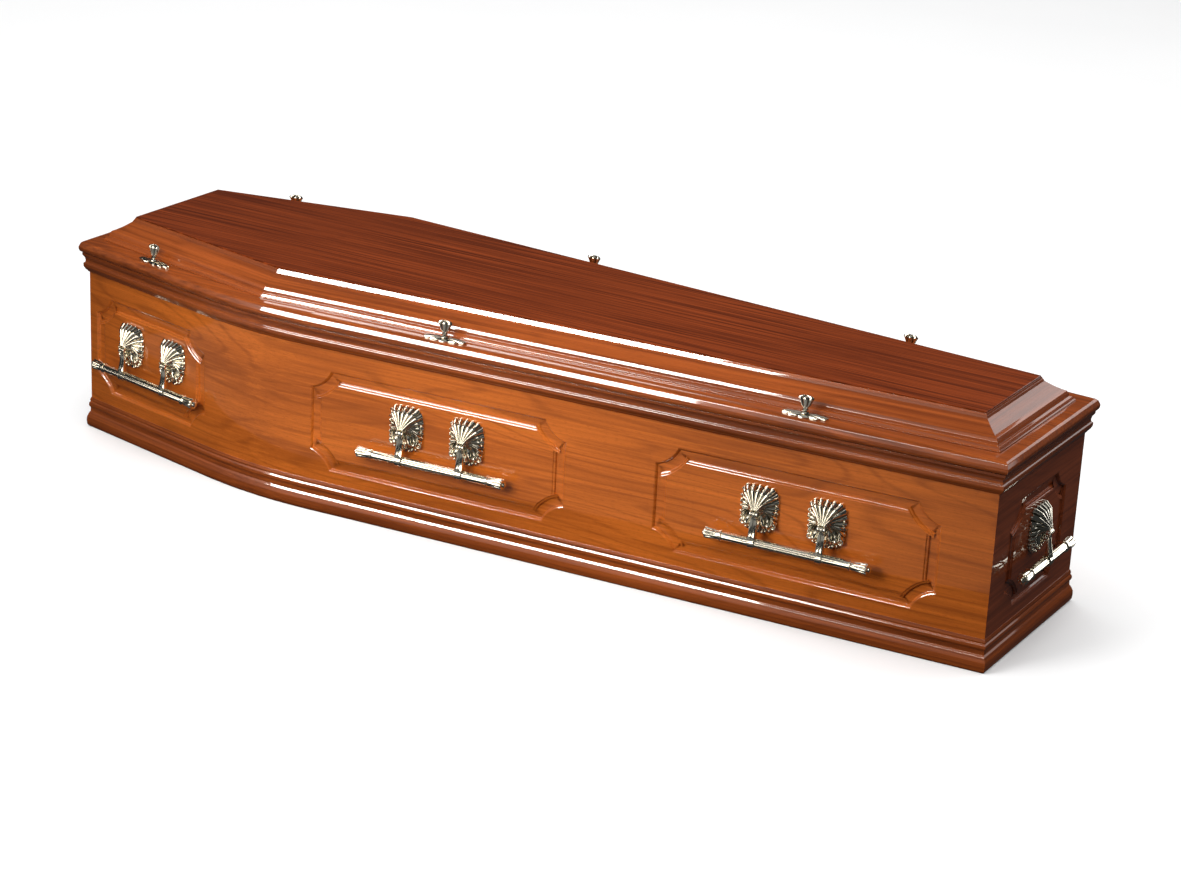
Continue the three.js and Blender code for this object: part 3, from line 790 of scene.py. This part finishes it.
def press(obj, shape, back):
    """Moves each point of a disc to shape(angle from straight up, reach), then closes the back."""
    mesh = obj.data
    hollows = []
    for vertex in mesh.vertices:
        reach = min(1.0, math.hypot(vertex.co.x, vertex.co.y))
        angle = math.atan2(vertex.co.x, vertex.co.y)
        *place, hollow = shape(angle, reach)
        vertex.co = place
        hollows.append(hollow)
    write_hollows(obj, hollows)
    start_edit(obj, "EDGE")
    bpy.ops.mesh.select_all(action="DESELECT")
    bpy.ops.mesh.select_non_manifold()
    bpy.ops.mesh.extrude_edges_move()
    end_edit()
    for vertex in mesh.vertices:
        if vertex.select:
            vertex.co.z = back
    bpy.ops.object.mode_set(mode="EDIT")
    bpy.ops.mesh.edge_face_add()
    end_edit()


def write_hollows(obj, depths):
    """Writes the attribute 'hollow', from 0 on the high places to 1 in the deep ones, where the brass is painted
    darker as patina and painted shade.
    """
    attribute = obj.data.attributes.new("hollow", "FLOAT", "POINT")
    attribute.data.foreach_set("value", [max(0.0, min(1.0, depth)) for depth in depths])


def ball(radius, place):
    bpy.ops.object.select_all(action="DESELECT")
    bpy.ops.mesh.primitive_uv_sphere_add(segments=14, ring_count=8, radius=radius, location=place)
    bpy.ops.object.transform_apply(location=True, rotation=False, scale=False)
    return bpy.context.view_layer.objects.active


def hoop(radius, thick, place):
    bpy.ops.object.select_all(action="DESELECT")
    bpy.ops.mesh.primitive_torus_add(
        location=place, major_radius=radius, minor_radius=thick, major_segments=24, minor_segments=8
    )
    bpy.ops.object.transform_apply(location=True, rotation=False, scale=False)
    return bpy.context.view_layer.objects.active


def turned(name, profile, sides, axis="X"):
    """A piece turned on a lathe: (radius, along) points spun round an axis."""
    obj = circle(name, len(profile))
    for vertex, (radius, along) in zip(obj.data.vertices, profile):
        vertex.co = (along, 0, radius) if axis == "X" else (radius, 0, along)
    closing = {0, len(profile) - 1}
    edit_edges(obj, lambda edge: set(edge.vertices) == closing)
    bpy.ops.mesh.delete(type="EDGE")
    bpy.ops.mesh.select_all(action="SELECT")
    turn_axis = (1, 0, 0) if axis == "X" else (0, 0, 1)
    bpy.ops.mesh.spin(steps=sides, angle=math.tau, center=(0, 0, 0), axis=turn_axis)
    bpy.ops.mesh.select_all(action="SELECT")
    bpy.ops.mesh.remove_doubles(threshold=1e-6)
    bpy.ops.mesh.normals_make_consistent(inside=False)
    end_edit()
    return obj


def rod(name, radius, sides, first, last, out=0.0, up=0.0, ease=0.0):
    """A round bar along X from first to last, with its ends eased where asked."""
    profile = [(radius, first), (radius, last)]
    if ease:
        profile = [(radius - ease, first), (radius, first + ease), (radius, last - ease), (radius - ease, last)]
    obj = turned(name, [(0, first), *profile, (0, last)], sides)
    return move_mesh(obj, Matrix.Translation((0, up, out)))


# Shell plates

SHELL_TOP = 47 * MM
SHELL_FOOT = 41.5 * MM
SHELL_HALF = 36.5 * MM
SHELL_BACK = 0.3 * MM
FLUTE = math.radians(15)
ARCH_MIDDLE = (19, -11)
ARCH_REACH = 13


def smooth(value, low, high):
    share = max(0.0, min(1.0, (value - low) / (high - low)))
    return share * share * (3 - 2 * share)


def shell_rim(angle):
    """Distance from the pin to the plate's edge: a rounded rectangle with a lobe for each flute."""
    upper = abs(angle) < math.pi / 2
    power = 4.5 if upper else 2.6
    across = abs(math.sin(angle)) / SHELL_HALF
    along = abs(math.cos(angle)) / (SHELL_TOP if upper else SHELL_FOOT)
    reach = (across**power + along**power) ** (-1 / power)
    return reach * (0.92 + 0.08 * abs(math.cos(math.pi * angle / FLUTE)) ** 0.7)


def shell_height(x, y, reach):
    """Height of the plate in millimetres: a spine that rises to the pin, and an arch on each side of it."""
    width = 11 + 0.62 * max(0.0, y - 6)
    spine = 22.5 * (1 - max(0.0, y - 6) / 62) * smooth(y, -5, 7) / (1 + (x / width) ** 4)
    from_arch = math.hypot(abs(x) - ARCH_MIDDLE[0], y - ARCH_MIDDLE[1])
    arch = 6.5 * math.exp(-(((from_arch - ARCH_REACH) / 6) ** 2))
    height = (5.5 + spine + arch) * (1 - 0.75 * smooth(reach, 0.78, 1.04) ** 1.2)
    if math.hypot(x, y) < 5.9 or (abs(x) < 5.0 and abs(y) < 7.4):
        height = min(height, 15)
    return height


def shell_shape(angle, reach):
    """The fan: flutes that rise from the pin and bend outwards, the lowest ones right over into arches."""
    turn = math.degrees(abs(angle))
    bend = (0.45 + 0.15 * smooth(turn, 60, 120)) * min(1.0, (180 - turn) / 45)
    bent = angle * (1 - bend * (1 - reach) ** 1.3)
    rim = shell_rim(angle) * reach / MM
    x, y = rim * math.sin(bent), rim * math.cos(bent)
    ridge = abs(math.cos(math.pi * angle / FLUTE)) ** 0.55
    relief = min(3.6, 0.2 * max(0.0, rim - 5)) * (ridge - 0.6)
    from_arch = math.hypot(abs(x) - ARCH_MIDDLE[0], y - ARCH_MIDDLE[1])
    hollow = max((0.72 - ridge) * 2.2 * smooth(rim, 8, 14), 0.9 * math.exp(-((from_arch / 7) ** 2)))
    return (x * MM, y * MM, (shell_height(x, y, reach) + relief) * MM, hollow)


# In millimetres from the pin: the scroll at each lower corner, and the beads round the edge by their angle
# from straight up and their radius
SCROLL_ACROSS, SCROLL_UP, SCROLL_HEIGHT = 28.5, -24, 6.4
EDGE_BEADS = ((66, 2.5), (84, 2.2), (101, 2.2), (117, 2.4), (146, 2.4), (157, 2.6), (168, 2.4))
BEAD_INSET, BEAD_HEIGHT = 2.0, 4.6
EYE_RADIUS, EYE_HALF, EAR_GAP = 5.0, 4.0, 0.35
PIN_RADIUS, PIN_HALF = 2.3, 6.5


def model_shell_plate(fittings):
    fan = disc("fan", 240, 40)
    press(fan, shell_shape, SHELL_BACK)
    extras = [model_stop(fittings)]
    for side in (-1, 1):
        across, up = side * SCROLL_ACROSS * MM, SCROLL_UP * MM
        extras.append(hoop(4.3 * MM, 1.8 * MM, (across, up, SCROLL_HEIGHT * MM)))
        extras.append(ball(1.9 * MM, (across, up, (SCROLL_HEIGHT - 0.2) * MM)))
        for degrees, radius in EDGE_BEADS:
            angle = math.radians(degrees)
            rim = shell_rim(angle) - BEAD_INSET * MM
            place = (side * rim * math.sin(angle), rim * math.cos(angle), BEAD_HEIGHT * MM)
            extras.append(ball(radius * MM, place))
        extras.append(model_ear(side, (EYE_HALF + EAR_GAP) * MM, fittings))
    extras.append(rod("pin", PIN_RADIUS * MM, 16, -PIN_HALF * MM, PIN_HALF * MM, fittings.pivot_out))
    plate = join("shell_plate", fan, *extras)
    tidy_mesh(plate, 50)
    return plate


def model_stop(fittings):
    """The block behind the strap that the arm comes to rest on."""
    stop = prism("stop", [(-3.5, -16), (3.5, -16), (3.5, -9), (-3.5, -9)], 5, fittings.pivot_out / MM - 2.6)
    move_mesh(stop, Matrix.Diagonal((MM, MM, MM, 1)))
    add_modifier(stop, "BEVEL", width=0.6 * MM, segments=2)
    return stop


def model_ear(side, inner, fittings):
    """One of the two cheeks that carry the pin."""
    radius, root, depth = 5 * MM, 7 * MM, 3 * MM
    steps = 10
    outline = [(9 * MM, root)]
    for step in range(steps + 1):
        turn = math.pi / 2 - math.pi * step / steps
        outline.append((fittings.pivot_out + radius * math.cos(turn), radius * math.sin(turn)))
    outline.append((9 * MM, -root))
    ear = prism("ear", outline, 0, depth)
    near = inner if side > 0 else -inner - depth
    move_mesh(ear, Matrix(((0, 0, 1, near), (0, 1, 0, 0), (1, 0, 0, 0), (0, 0, 0, 1))))
    add_modifier(ear, "BEVEL", width=0.5 * MM, segments=2)
    return ear


# Arms and bars


# The right half of the strap as (across, up) from the pin, and where it is cut to take its groove and its bow
STRAP = [(6.6, -46), (7, -42), (6.2, -14), (5.6, -9.5), (4.6, -8.0), (4, -7.2), (4, -1)]
STRAP_CUTS = [(-0.9, 0), (0, 0), (0.9, 0), (0, -14), (0, -19), (0, -24), (0, -29), (0, -34), (0, -38)]
STRAP_BACK = 2.2
STRAP_BOW = 6.2
RING_RADIUS, RING_HALF = 9.8, 6.5


def model_arm(fittings):
    """The arm: two polished facets with a groove between, hung on an eye, and a ring round the bar."""
    out, drop = fittings.pivot_out, fittings.bar_drop
    eye = rod("eye", EYE_RADIUS * MM, 24, -EYE_HALF * MM, EYE_HALF * MM, out, 0, 0.4 * MM)
    ring = rod("ring", RING_RADIUS * MM, 32, -RING_HALF * MM, RING_HALF * MM, out, -drop, 0.8 * MM)
    bands = [
        rod("band", 10.5 * MM, 32, x - 0.9 * MM, x + 0.9 * MM, out, -drop, 0.5 * MM) for x in (-5 * MM, 5 * MM)
    ]
    strap = prism("strap", STRAP + [(-x, y) for x, y in reversed(STRAP)], 0, 4)
    move_mesh(strap, Matrix.Translation((0, 0, out - STRAP_BACK * MM)) @ Matrix.Diagonal((MM, MM, MM, 1)))
    start_edit(strap, "FACE")
    for x, y in STRAP_CUTS:
        bpy.ops.mesh.select_all(action="SELECT")
        bpy.ops.mesh.bisect(plane_co=(x * MM, y * MM, 0), plane_no=(0, 1, 0) if y else (1, 0, 0))
    end_edit()
    for vertex in strap.data.vertices:
        across = abs(vertex.co.x) / MM
        if vertex.co.z > out:
            bow = STRAP_BOW * max(0.0, (-8.5 - vertex.co.y / MM) / 36.5) ** 1.6
            vertex.co.z += (bow + (-0.5 if across < 0.1 else 1.0 - 0.14 * across)) * MM
    add_modifier(strap, "BEVEL", width=0.35 * MM, segments=2)
    beads = [ball(1.8 * MM, (x * MM, 1.6 * MM, out + 3.6 * MM)) for x in (-2.3, 2.3)]
    drop_bead = ball(2.4 * MM, (0, -drop - 9.4 * MM, out))
    arm = join("arm", eye, ring, *bands, strap, *beads, drop_bead)
    tidy_mesh(arm, 30)
    places = [vertex.co for vertex in arm.data.vertices]
    write_hollows(arm, [(0.6 * MM - abs(p.x)) / (0.5 * MM) if p.z > out and p.y < -1 * MM else 0.0 for p in places])
    return arm


# The bar's end as (radius, distance from its tip) in millimetres: knob, petalled cup and collar
KNOB = [(0, 0), (2.4, 0.3), (4.4, 1.4), (5.6, 3.2), (5.4, 5.0), (4.6, 6.2)]
CUP = [(7.8, 5.6), (9.9, 6.2), (10.5, 7.6), (10.5, 10), (10.3, 14), (9.9, 18), (9.4, 23), (8.9, 28), (8.4, 33)]
COLLAR = [(8.6, 34), (8.6, 35), (10.3, 36), (10.5, 37), (10.3, 38), (8.7, 39), (8.7, 39.6)]
COLLAR_END = 40
PETALS_FROM, PETALS_TO = 6.2, 33


def flute_bar(bar, end):
    """Draws in the flutes of the bar and the petals of its finials, and marks them as hollows."""
    hollows = []
    for vertex in bar.data.vertices:
        x, y, z = vertex.co
        angle = math.atan2(y, z)
        inset = (end - abs(x)) / MM
        depth, groove = 0.0, 0.0
        if abs(x) <= end - COLLAR_END * MM:
            groove = abs(math.sin(6 * angle)) ** 2
            depth = 0.075 * groove
        elif PETALS_FROM < inset < PETALS_TO:
            groove = 1 - abs(math.cos(4 * angle)) ** 0.7
            depth = 0.26 * groove * math.sin(math.pi * (PETALS_TO - inset) / PETALS_TO) ** 0.8
        vertex.co = (x, y * (1 - depth), z * (1 - depth))
        hollows.append((groove - 0.55) * 2)
    write_hollows(bar, hollows)


def model_bar(name, whole, fittings):
    radius, end = fittings.bar_radius / MM, whole / 2 / MM
    half = [(r, end - inset) for r, inset in KNOB + CUP + COLLAR + [(radius, COLLAR_END)]]
    outline = half + [(radius, half[-1][1] * share) for share in (0.66, 0.33, 0)]
    outline += [(r, -x) for r, x in reversed(outline[:-1])]
    bar = turned(name, [(r * MM, x * MM) for r, x in outline], 72)
    flute_bar(bar, whole / 2)
    move_mesh(bar, Matrix.Translation((0, -fittings.bar_drop, fittings.pivot_out)))
    tidy_mesh(bar, 32)
    return bar


# Each handle: its name, its stretch of wall, its place along it, and whether it hangs on two arms

HANDLES = [
    ("near_head", 0, 0.197, True), ("near_middle", 1, 0.402, True), ("near_foot", 1, 1.107, True),
    ("foot_end", 2, None, False),
    ("far_foot", 3, -1.107, True), ("far_middle", 3, -0.402, True), ("far_head", 4, -0.197, True),
    ("head_end", 5, None, False),
]


def handle_places(box):
    stretches = plan_stretches(box)
    for name, stretch, along, paired in HANDLES:
        wall = stretches[stretch]
        yield name, wall, wall.length / 2 if along is None else along % wall.length, paired


def copy_to(master, name, matrix, body, node, finish):
    piece = master.copy()
    piece.data = master.data.copy()
    piece.name = piece.data.name = name
    bpy.context.scene.collection.objects.link(piece)
    move_mesh(piece, matrix)
    deliver(piece, body, [node], "brass", finish)


def hang_copies(scene, master, word, node_word, body_of):
    """Puts a copy of a plate or arm at each place of each handle."""
    half = scene.coffin_fittings.arm_spacing / 2
    for name, wall, along, paired in handle_places(scene.coffin_box):
        for i, shift in enumerate((-half, half) if paired else (0.0,)):
            matrix = wall_matrix(wall, along + shift, scene.coffin_fittings.pivot_height)
            node = f"{node_word}_{name}_{i + 1}"
            copy_to(master, f"{word}_{name}_{i + 1}", matrix, body_of(name), node, scene.coffin_finish)
    bpy.data.objects.remove(master)


class COFFIN_OT_shell_plates(bpy.types.Operator):
    """Adds the shell plates that the handles hang from"""

    bl_idname = "coffin.shell_plates"
    bl_label = "Shell plates"

    def execute(self, context):
        master = model_shell_plate(context.scene.coffin_fittings)
        hang_copies(context.scene, master, "shell", "plate", lambda name: "coffin")
        return {"FINISHED"}


class COFFIN_OT_arms(bpy.types.Operator):
    """Adds the arms that carry the bars"""

    bl_idname = "coffin.arms"
    bl_label = "Arms"

    def execute(self, context):
        master = model_arm(context.scene.coffin_fittings)
        hang_copies(context.scene, master, "strap", "arm", lambda name: f"handle_{name}")
        return {"FINISHED"}


class COFFIN_OT_bars(bpy.types.Operator):
    """Adds the bars with their collars and finials"""

    bl_idname = "coffin.bars"
    bl_label = "Bars"

    def execute(self, context):
        scene = context.scene
        fittings = scene.coffin_fittings
        masters = {
            True: model_bar("side_bar", fittings.side_bar, fittings),
            False: model_bar("end_bar", fittings.end_bar, fittings),
        }
        for name, wall, along, paired in handle_places(scene.coffin_box):
            matrix = wall_matrix(wall, along, fittings.pivot_height)
            copy_to(masters[paired], f"grip_{name}", matrix, f"handle_{name}", f"bar_{name}", scene.coffin_finish)
        for master in masters.values():
            bpy.data.objects.remove(master)
        return {"FINISHED"}


# Thumb-screws and the leaf plates under them

SCREW_INSIDE = 6 * MM
SCREWS = {"head": (-0.779, 0), "middle": (-0.087, 1), "foot": (0.614, 1)}

# The thumb-screw as (height, half width, half thickness) in millimetres: seat, beaded neck and fan
SCREW_SECTIONS = [
    (6.3, 8.0, 8.0), (7.2, 8.0, 8.0), (8.6, 6.6, 6.6), (9.6, 4.4, 4.4), (11.2, 4.2, 4.2), (12.2, 5.6, 5.6),
    (13.4, 5.6, 5.6), (14.4, 3.9, 3.9), (16, 4.6, 3.8), (18, 6.6, 4.2), (20.5, 8.4, 4.6), (23, 9.8, 4.9),
    (25.5, 11.0, 5.2), (28, 12.1, 5.5), (30.5, 13.4, 5.8), (32.5, 14.7, 5.9), (34.2, 15.0, 5.4),
    (35.8, 14.0, 4.4), (37.2, 10.4, 3.0),
]
SCREW_TIP = (5.2, 1.6)
FAN_FROM, FAN_TIPS_FROM = 16.5, 34


def leaf_shape(fittings):
    def shape(angle, reach):
        lobe = abs(math.cos(5 * angle)) ** 0.8
        edge = 0.80 + 0.20 * lobe
        x = fittings.leaf_length / 2 * reach * edge * math.sin(angle)
        y = fittings.leaf_width / 2 * reach * edge * math.cos(angle)
        rise = 2.8 + 2.6 * (1 - reach**4) + 1.8 * (lobe - 0.5) * min(1, reach * 1.5)
        return (x, y, rise * MM, (0.5 - lobe) * 1.6 * smooth(reach, 0.15, 0.4))
    return shape


def model_leaf_plate(fittings):
    leaf = disc("leaf", 120, 12)
    press(leaf, leaf_shape(fittings), 0.3 * MM)
    tidy_mesh(leaf, 45)
    return leaf


def model_thumb_screw(fittings):
    """A fluted fan on a beaded neck, drawn standing on the lid."""
    sections = SCREW_SECTIONS + [(fittings.screw_height / MM, *SCREW_TIP)]
    bottom, top = sections[0][0], sections[-1][0]
    core = [(1 * MM, z * MM) for z, *_ in sections]
    screw = turned("screw", [(0, bottom * MM), *core, (0, top * MM)], 56, "Z")
    widths = {round(z * 100): (wide, thick) for z, wide, thick in sections}
    hollows = []
    for vertex in screw.data.vertices:
        x, y, z = vertex.co
        flute = lift = 0.0
        if math.hypot(x, y) > 1e-6:
            wide, thick = widths[round(z / MM * 100)]
            angle = math.atan2(y, x)
            turn = 3.5 * math.asin(max(-1, min(1, math.cos(angle))))
            if z > FAN_FROM * MM:
                flute = 0.22 * (1 - abs(math.cos(turn)) ** 0.6)
            if z > FAN_TIPS_FROM * MM:
                lift = -1.2 * abs(math.sin(turn))
            x, y = wide * MM * math.cos(angle), thick * MM * (1 - 2.2 * flute) * math.sin(angle)
            vertex.co = (x, y, z + lift * MM)
        hollows.append(flute * 7)
    write_hollows(screw, hollows)
    tidy_mesh(screw, 45)
    return screw


class COFFIN_OT_thumb_screws(bpy.types.Operator):
    """Adds the thumb-screws and the leaf plates that they stand on"""

    bl_idname = "coffin.thumb_screws"
    bl_label = "Thumb-screws"

    def execute(self, context):
        scene = context.scene
        box, fittings = scene.coffin_box, scene.coffin_fittings
        stretches = plan_stretches(box)
        leaf, screw = model_leaf_plate(fittings), model_thumb_screw(fittings)
        for side in ("near", "far"):
            for place, (x, stretch) in SCREWS.items():
                wall = stretches[stretch if side == "near" else 4 - stretch]
                inset = wall.at(0, -SCREW_INSIDE)
                matrix = lid_matrix(wall, (x - inset.x) / wall.along.x, -SCREW_INSIDE, box.lid_top)
                where = f"{side}_{place}"
                copy_to(leaf, f"leaf_{where}", matrix, "coffin", f"leaf_plate_{where}", scene.coffin_finish)
                copy_to(screw, f"screw_{where}", matrix, "coffin", f"thumb_screw_{where}", scene.coffin_finish)
        bpy.data.objects.remove(leaf)
        bpy.data.objects.remove(screw)
        return {"FINISHED"}


# The studio

CAMERA_PLACE = (2.5987, -4.3517, 2.0322)
CAMERA_TURN = 30.098
CAMERA_DIP = 20.626
CAMERA_ROLL = 2.851
CAMERA_LENS = 87.43

# Long windows: where each starts and ends, its depth, what it faces, and its brightness on wood and on metal
LONG_WINDOWS = {
    "strip": ((-2.25, -2.15, 1.85), (-0.88, -3.72, 2.35), 1.5, (-0.1, -0.3, 0.4), {"wood": 55, "metal": 6}),
    "tail": ((-0.88, -3.72, 2.75), (0.45, -5.2, 3.5), 0.35, (0.6, -0.3, 0.4), {"wood": 30, "metal": 5}),
    "low_window": ((-3.0, -1.5, 0.55), (0.8, -3.2, 0.6), 0.7, (-0.1, -0.3, 0.15), {"metal": 3.6}),
}
NO_GLOSS = {"seen_in_gloss": False}
GLOSS_ON_METAL = {"lights_surfaces": False, "only_on": "metal_pieces"}
GLOSS_ON_WOOD = {"lights_surfaces": False, "only_on": "wood_pieces"}


def aim(obj, target):
    direction = Vector(target) - obj.location
    obj.rotation_mode = "QUATERNION"
    obj.rotation_quaternion = direction.to_track_quat("-Z", "Y")


def soft_light(name, place, target, width, depth, power, seen_in_gloss=True, lights_surfaces=True, only_on=None):
    """A rectangle of light, which the camera doesn't see, on everything or on one group of pieces."""
    data = bpy.data.lights.new(name, "AREA")
    data.shape = "RECTANGLE"
    data.size, data.size_y = width, depth
    data.energy = power
    light = bpy.data.objects.new(name, data)
    bpy.context.scene.collection.objects.link(light)
    light.location = place
    aim(light, target)
    light.visible_camera = False
    light.visible_glossy = seen_in_gloss
    light.visible_diffuse = lights_surfaces
    if only_on:
        light.light_linking.receiver_collection = lit_group(only_on)
    return light


def long_window(name, start, end, depth, target, radiance, only_on):
    """A tall strip of light that leads from start to end and faces the target, seen only in the gloss."""
    start, end = Vector(start), Vector(end)
    middle = (start + end) / 2
    width = (end - start).length
    power = radiance * math.pi * width * depth
    light = soft_light(name, middle, target, width, depth, power, lights_surfaces=False, only_on=only_on)
    light.data.color = (1.0, 0.96, 0.90)
    along = (end - start).normalized()
    facing = middle - Vector(target)
    facing = (facing - along * facing.dot(along)).normalized()
    light.rotation_quaternion = Matrix((along, facing.cross(along), facing)).transposed().to_quaternion()
    return light


class COFFIN_OT_studio(bpy.types.Operator):
    """Adds the pale floor, the soft lights and the camera"""

    bl_idname = "coffin.studio"
    bl_label = "Studio"

    def execute(self, context):
        scene = context.scene
        bpy.ops.object.select_all(action="DESELECT")
        bpy.ops.mesh.primitive_plane_add(size=60, location=(0, 0, -0.0005))
        floor = bpy.context.view_layer.objects.active
        floor.name = "studio_floor"
        coat(floor, finish_material(scene.coffin_finish, "floor"))
        floor.visible_glossy = floor.visible_diffuse = False
        soft_light("ceiling", (-0.5, 1.0, 6.0), (-0.5, 1.0, 0), 14, 14, 1130, **NO_GLOSS)
        soft_light("fill", (-0.05, -1.5, 0.85), (-0.05, -0.3, 0.2), 0.9, 0.5, 21, **NO_GLOSS)
        for group in ("wood", "metal"):
            for name, (start, end, depth, target, brightness) in LONG_WINDOWS.items():
                if group in brightness:
                    long_window(f"{name}_{group}", start, end, depth, target, brightness[group], f"{group}_pieces")
        soft_light("top_card", (0, -0.6, 3.4), (0, -0.4, 0), 4, 3, 13, **GLOSS_ON_METAL)
        soft_light("floor_card_metal", (0, -0.9, 0.03), (0, -0.9, 3.0), 3.0, 0.9, 1.6, **GLOSS_ON_METAL)
        soft_light("foot_card", (2.17, 2.2, 0.45), (0.97, 0, 0.2), 1.0, 1.3, 16, **GLOSS_ON_METAL)
        soft_light("floor_card", (-0.05, -0.9, 0.03), (-0.05, -0.9, 3.0), 2.6, 0.9, 1.6, **GLOSS_ON_WOOD)
        soft_light("right_window", (3.0, 2.0, 1.0), (0.9, 0, 0.2), 1.6, 1.4, 8)
        soft_light("far_window", (1.2, 2.8, 1.3), (0.2, 0.3, 0.2), 1.6, 1.2, 12)
        self.set_world(scene)
        self.set_camera(scene)
        scene.view_settings.view_transform = "Standard"
        scene.view_settings.look = "None"
        return {"FINISHED"}

    @staticmethod
    def set_world(scene):
        world = bpy.data.worlds.new("studio_world")
        world.use_nodes = True
        background = world.node_tree.nodes["Background"]
        background.inputs["Color"].default_value = (0.9, 0.95, 1.0, 1)
        background.inputs["Strength"].default_value = 0.03
        scene.world = world

    @staticmethod
    def set_camera(scene):
        turn, dip, roll = (math.radians(a) for a in (CAMERA_TURN, CAMERA_DIP, CAMERA_ROLL))
        back = Vector((math.sin(turn) * math.cos(dip), -math.cos(turn) * math.cos(dip), math.sin(dip)))
        level = Vector((math.cos(turn), math.sin(turn), 0))
        upright = back.cross(level)
        right = level * math.cos(roll) + upright * math.sin(roll)
        up = upright * math.cos(roll) - level * math.sin(roll)
        matrix = Matrix.Identity(4)
        for i, column in enumerate((right, up, back)):
            matrix.col[i][:3] = column
        matrix.translation = CAMERA_PLACE
        data = bpy.data.cameras.new("camera")
        data.lens = CAMERA_LENS
        data.sensor_width = 36
        camera = bpy.data.objects.new("camera", data)
        scene.collection.objects.link(camera)
        camera.matrix_world = matrix
        scene.camera = camera


class COFFIN_PT_parts(bpy.types.Panel):
    """The coffin's sizes and finishes, and a button for each group of pieces"""

    bl_idname = "COFFIN_PT_parts"
    bl_label = "Wooden coffin"
    bl_space_type = "VIEW_3D"
    bl_region_type = "UI"
    bl_category = "Coffin"

    def draw(self, context):
        for group in (context.scene.coffin_box, context.scene.coffin_fittings, context.scene.coffin_finish):
            column = self.layout.column(align=True)
            for key in group.__annotations__:
                column.prop(group, key)
        for operator in OPERATORS:
            self.layout.operator(operator.bl_idname)


OPERATORS = (
    COFFIN_OT_side_boards,
    COFFIN_OT_end_boards,
    COFFIN_OT_base,
    COFFIN_OT_mouldings,
    COFFIN_OT_lid,
    COFFIN_OT_shell_plates,
    COFFIN_OT_arms,
    COFFIN_OT_bars,
    COFFIN_OT_thumb_screws,
    COFFIN_OT_studio,
)
GROUPS = {"coffin_box": CoffinBoxSizes, "coffin_fittings": CoffinFittingSizes, "coffin_finish": CoffinFinish}


def register():
    for cls in (*GROUPS.values(), *OPERATORS, COFFIN_PT_parts):
        bpy.utils.register_class(cls)
    for key, group in GROUPS.items():
        setattr(bpy.types.Scene, key, PointerProperty(type=group))


def unregister():
    for key in GROUPS:
        delattr(bpy.types.Scene, key)
    for cls in (COFFIN_PT_parts, *reversed(OPERATORS), *reversed(GROUPS.values())):
        bpy.utils.unregister_class(cls)


def main():
    register()
    for operator in OPERATORS:
        module, name = operator.bl_idname.split(".")
        getattr(getattr(bpy.ops, module), name)()


if __name__ == "__main__":
    main()
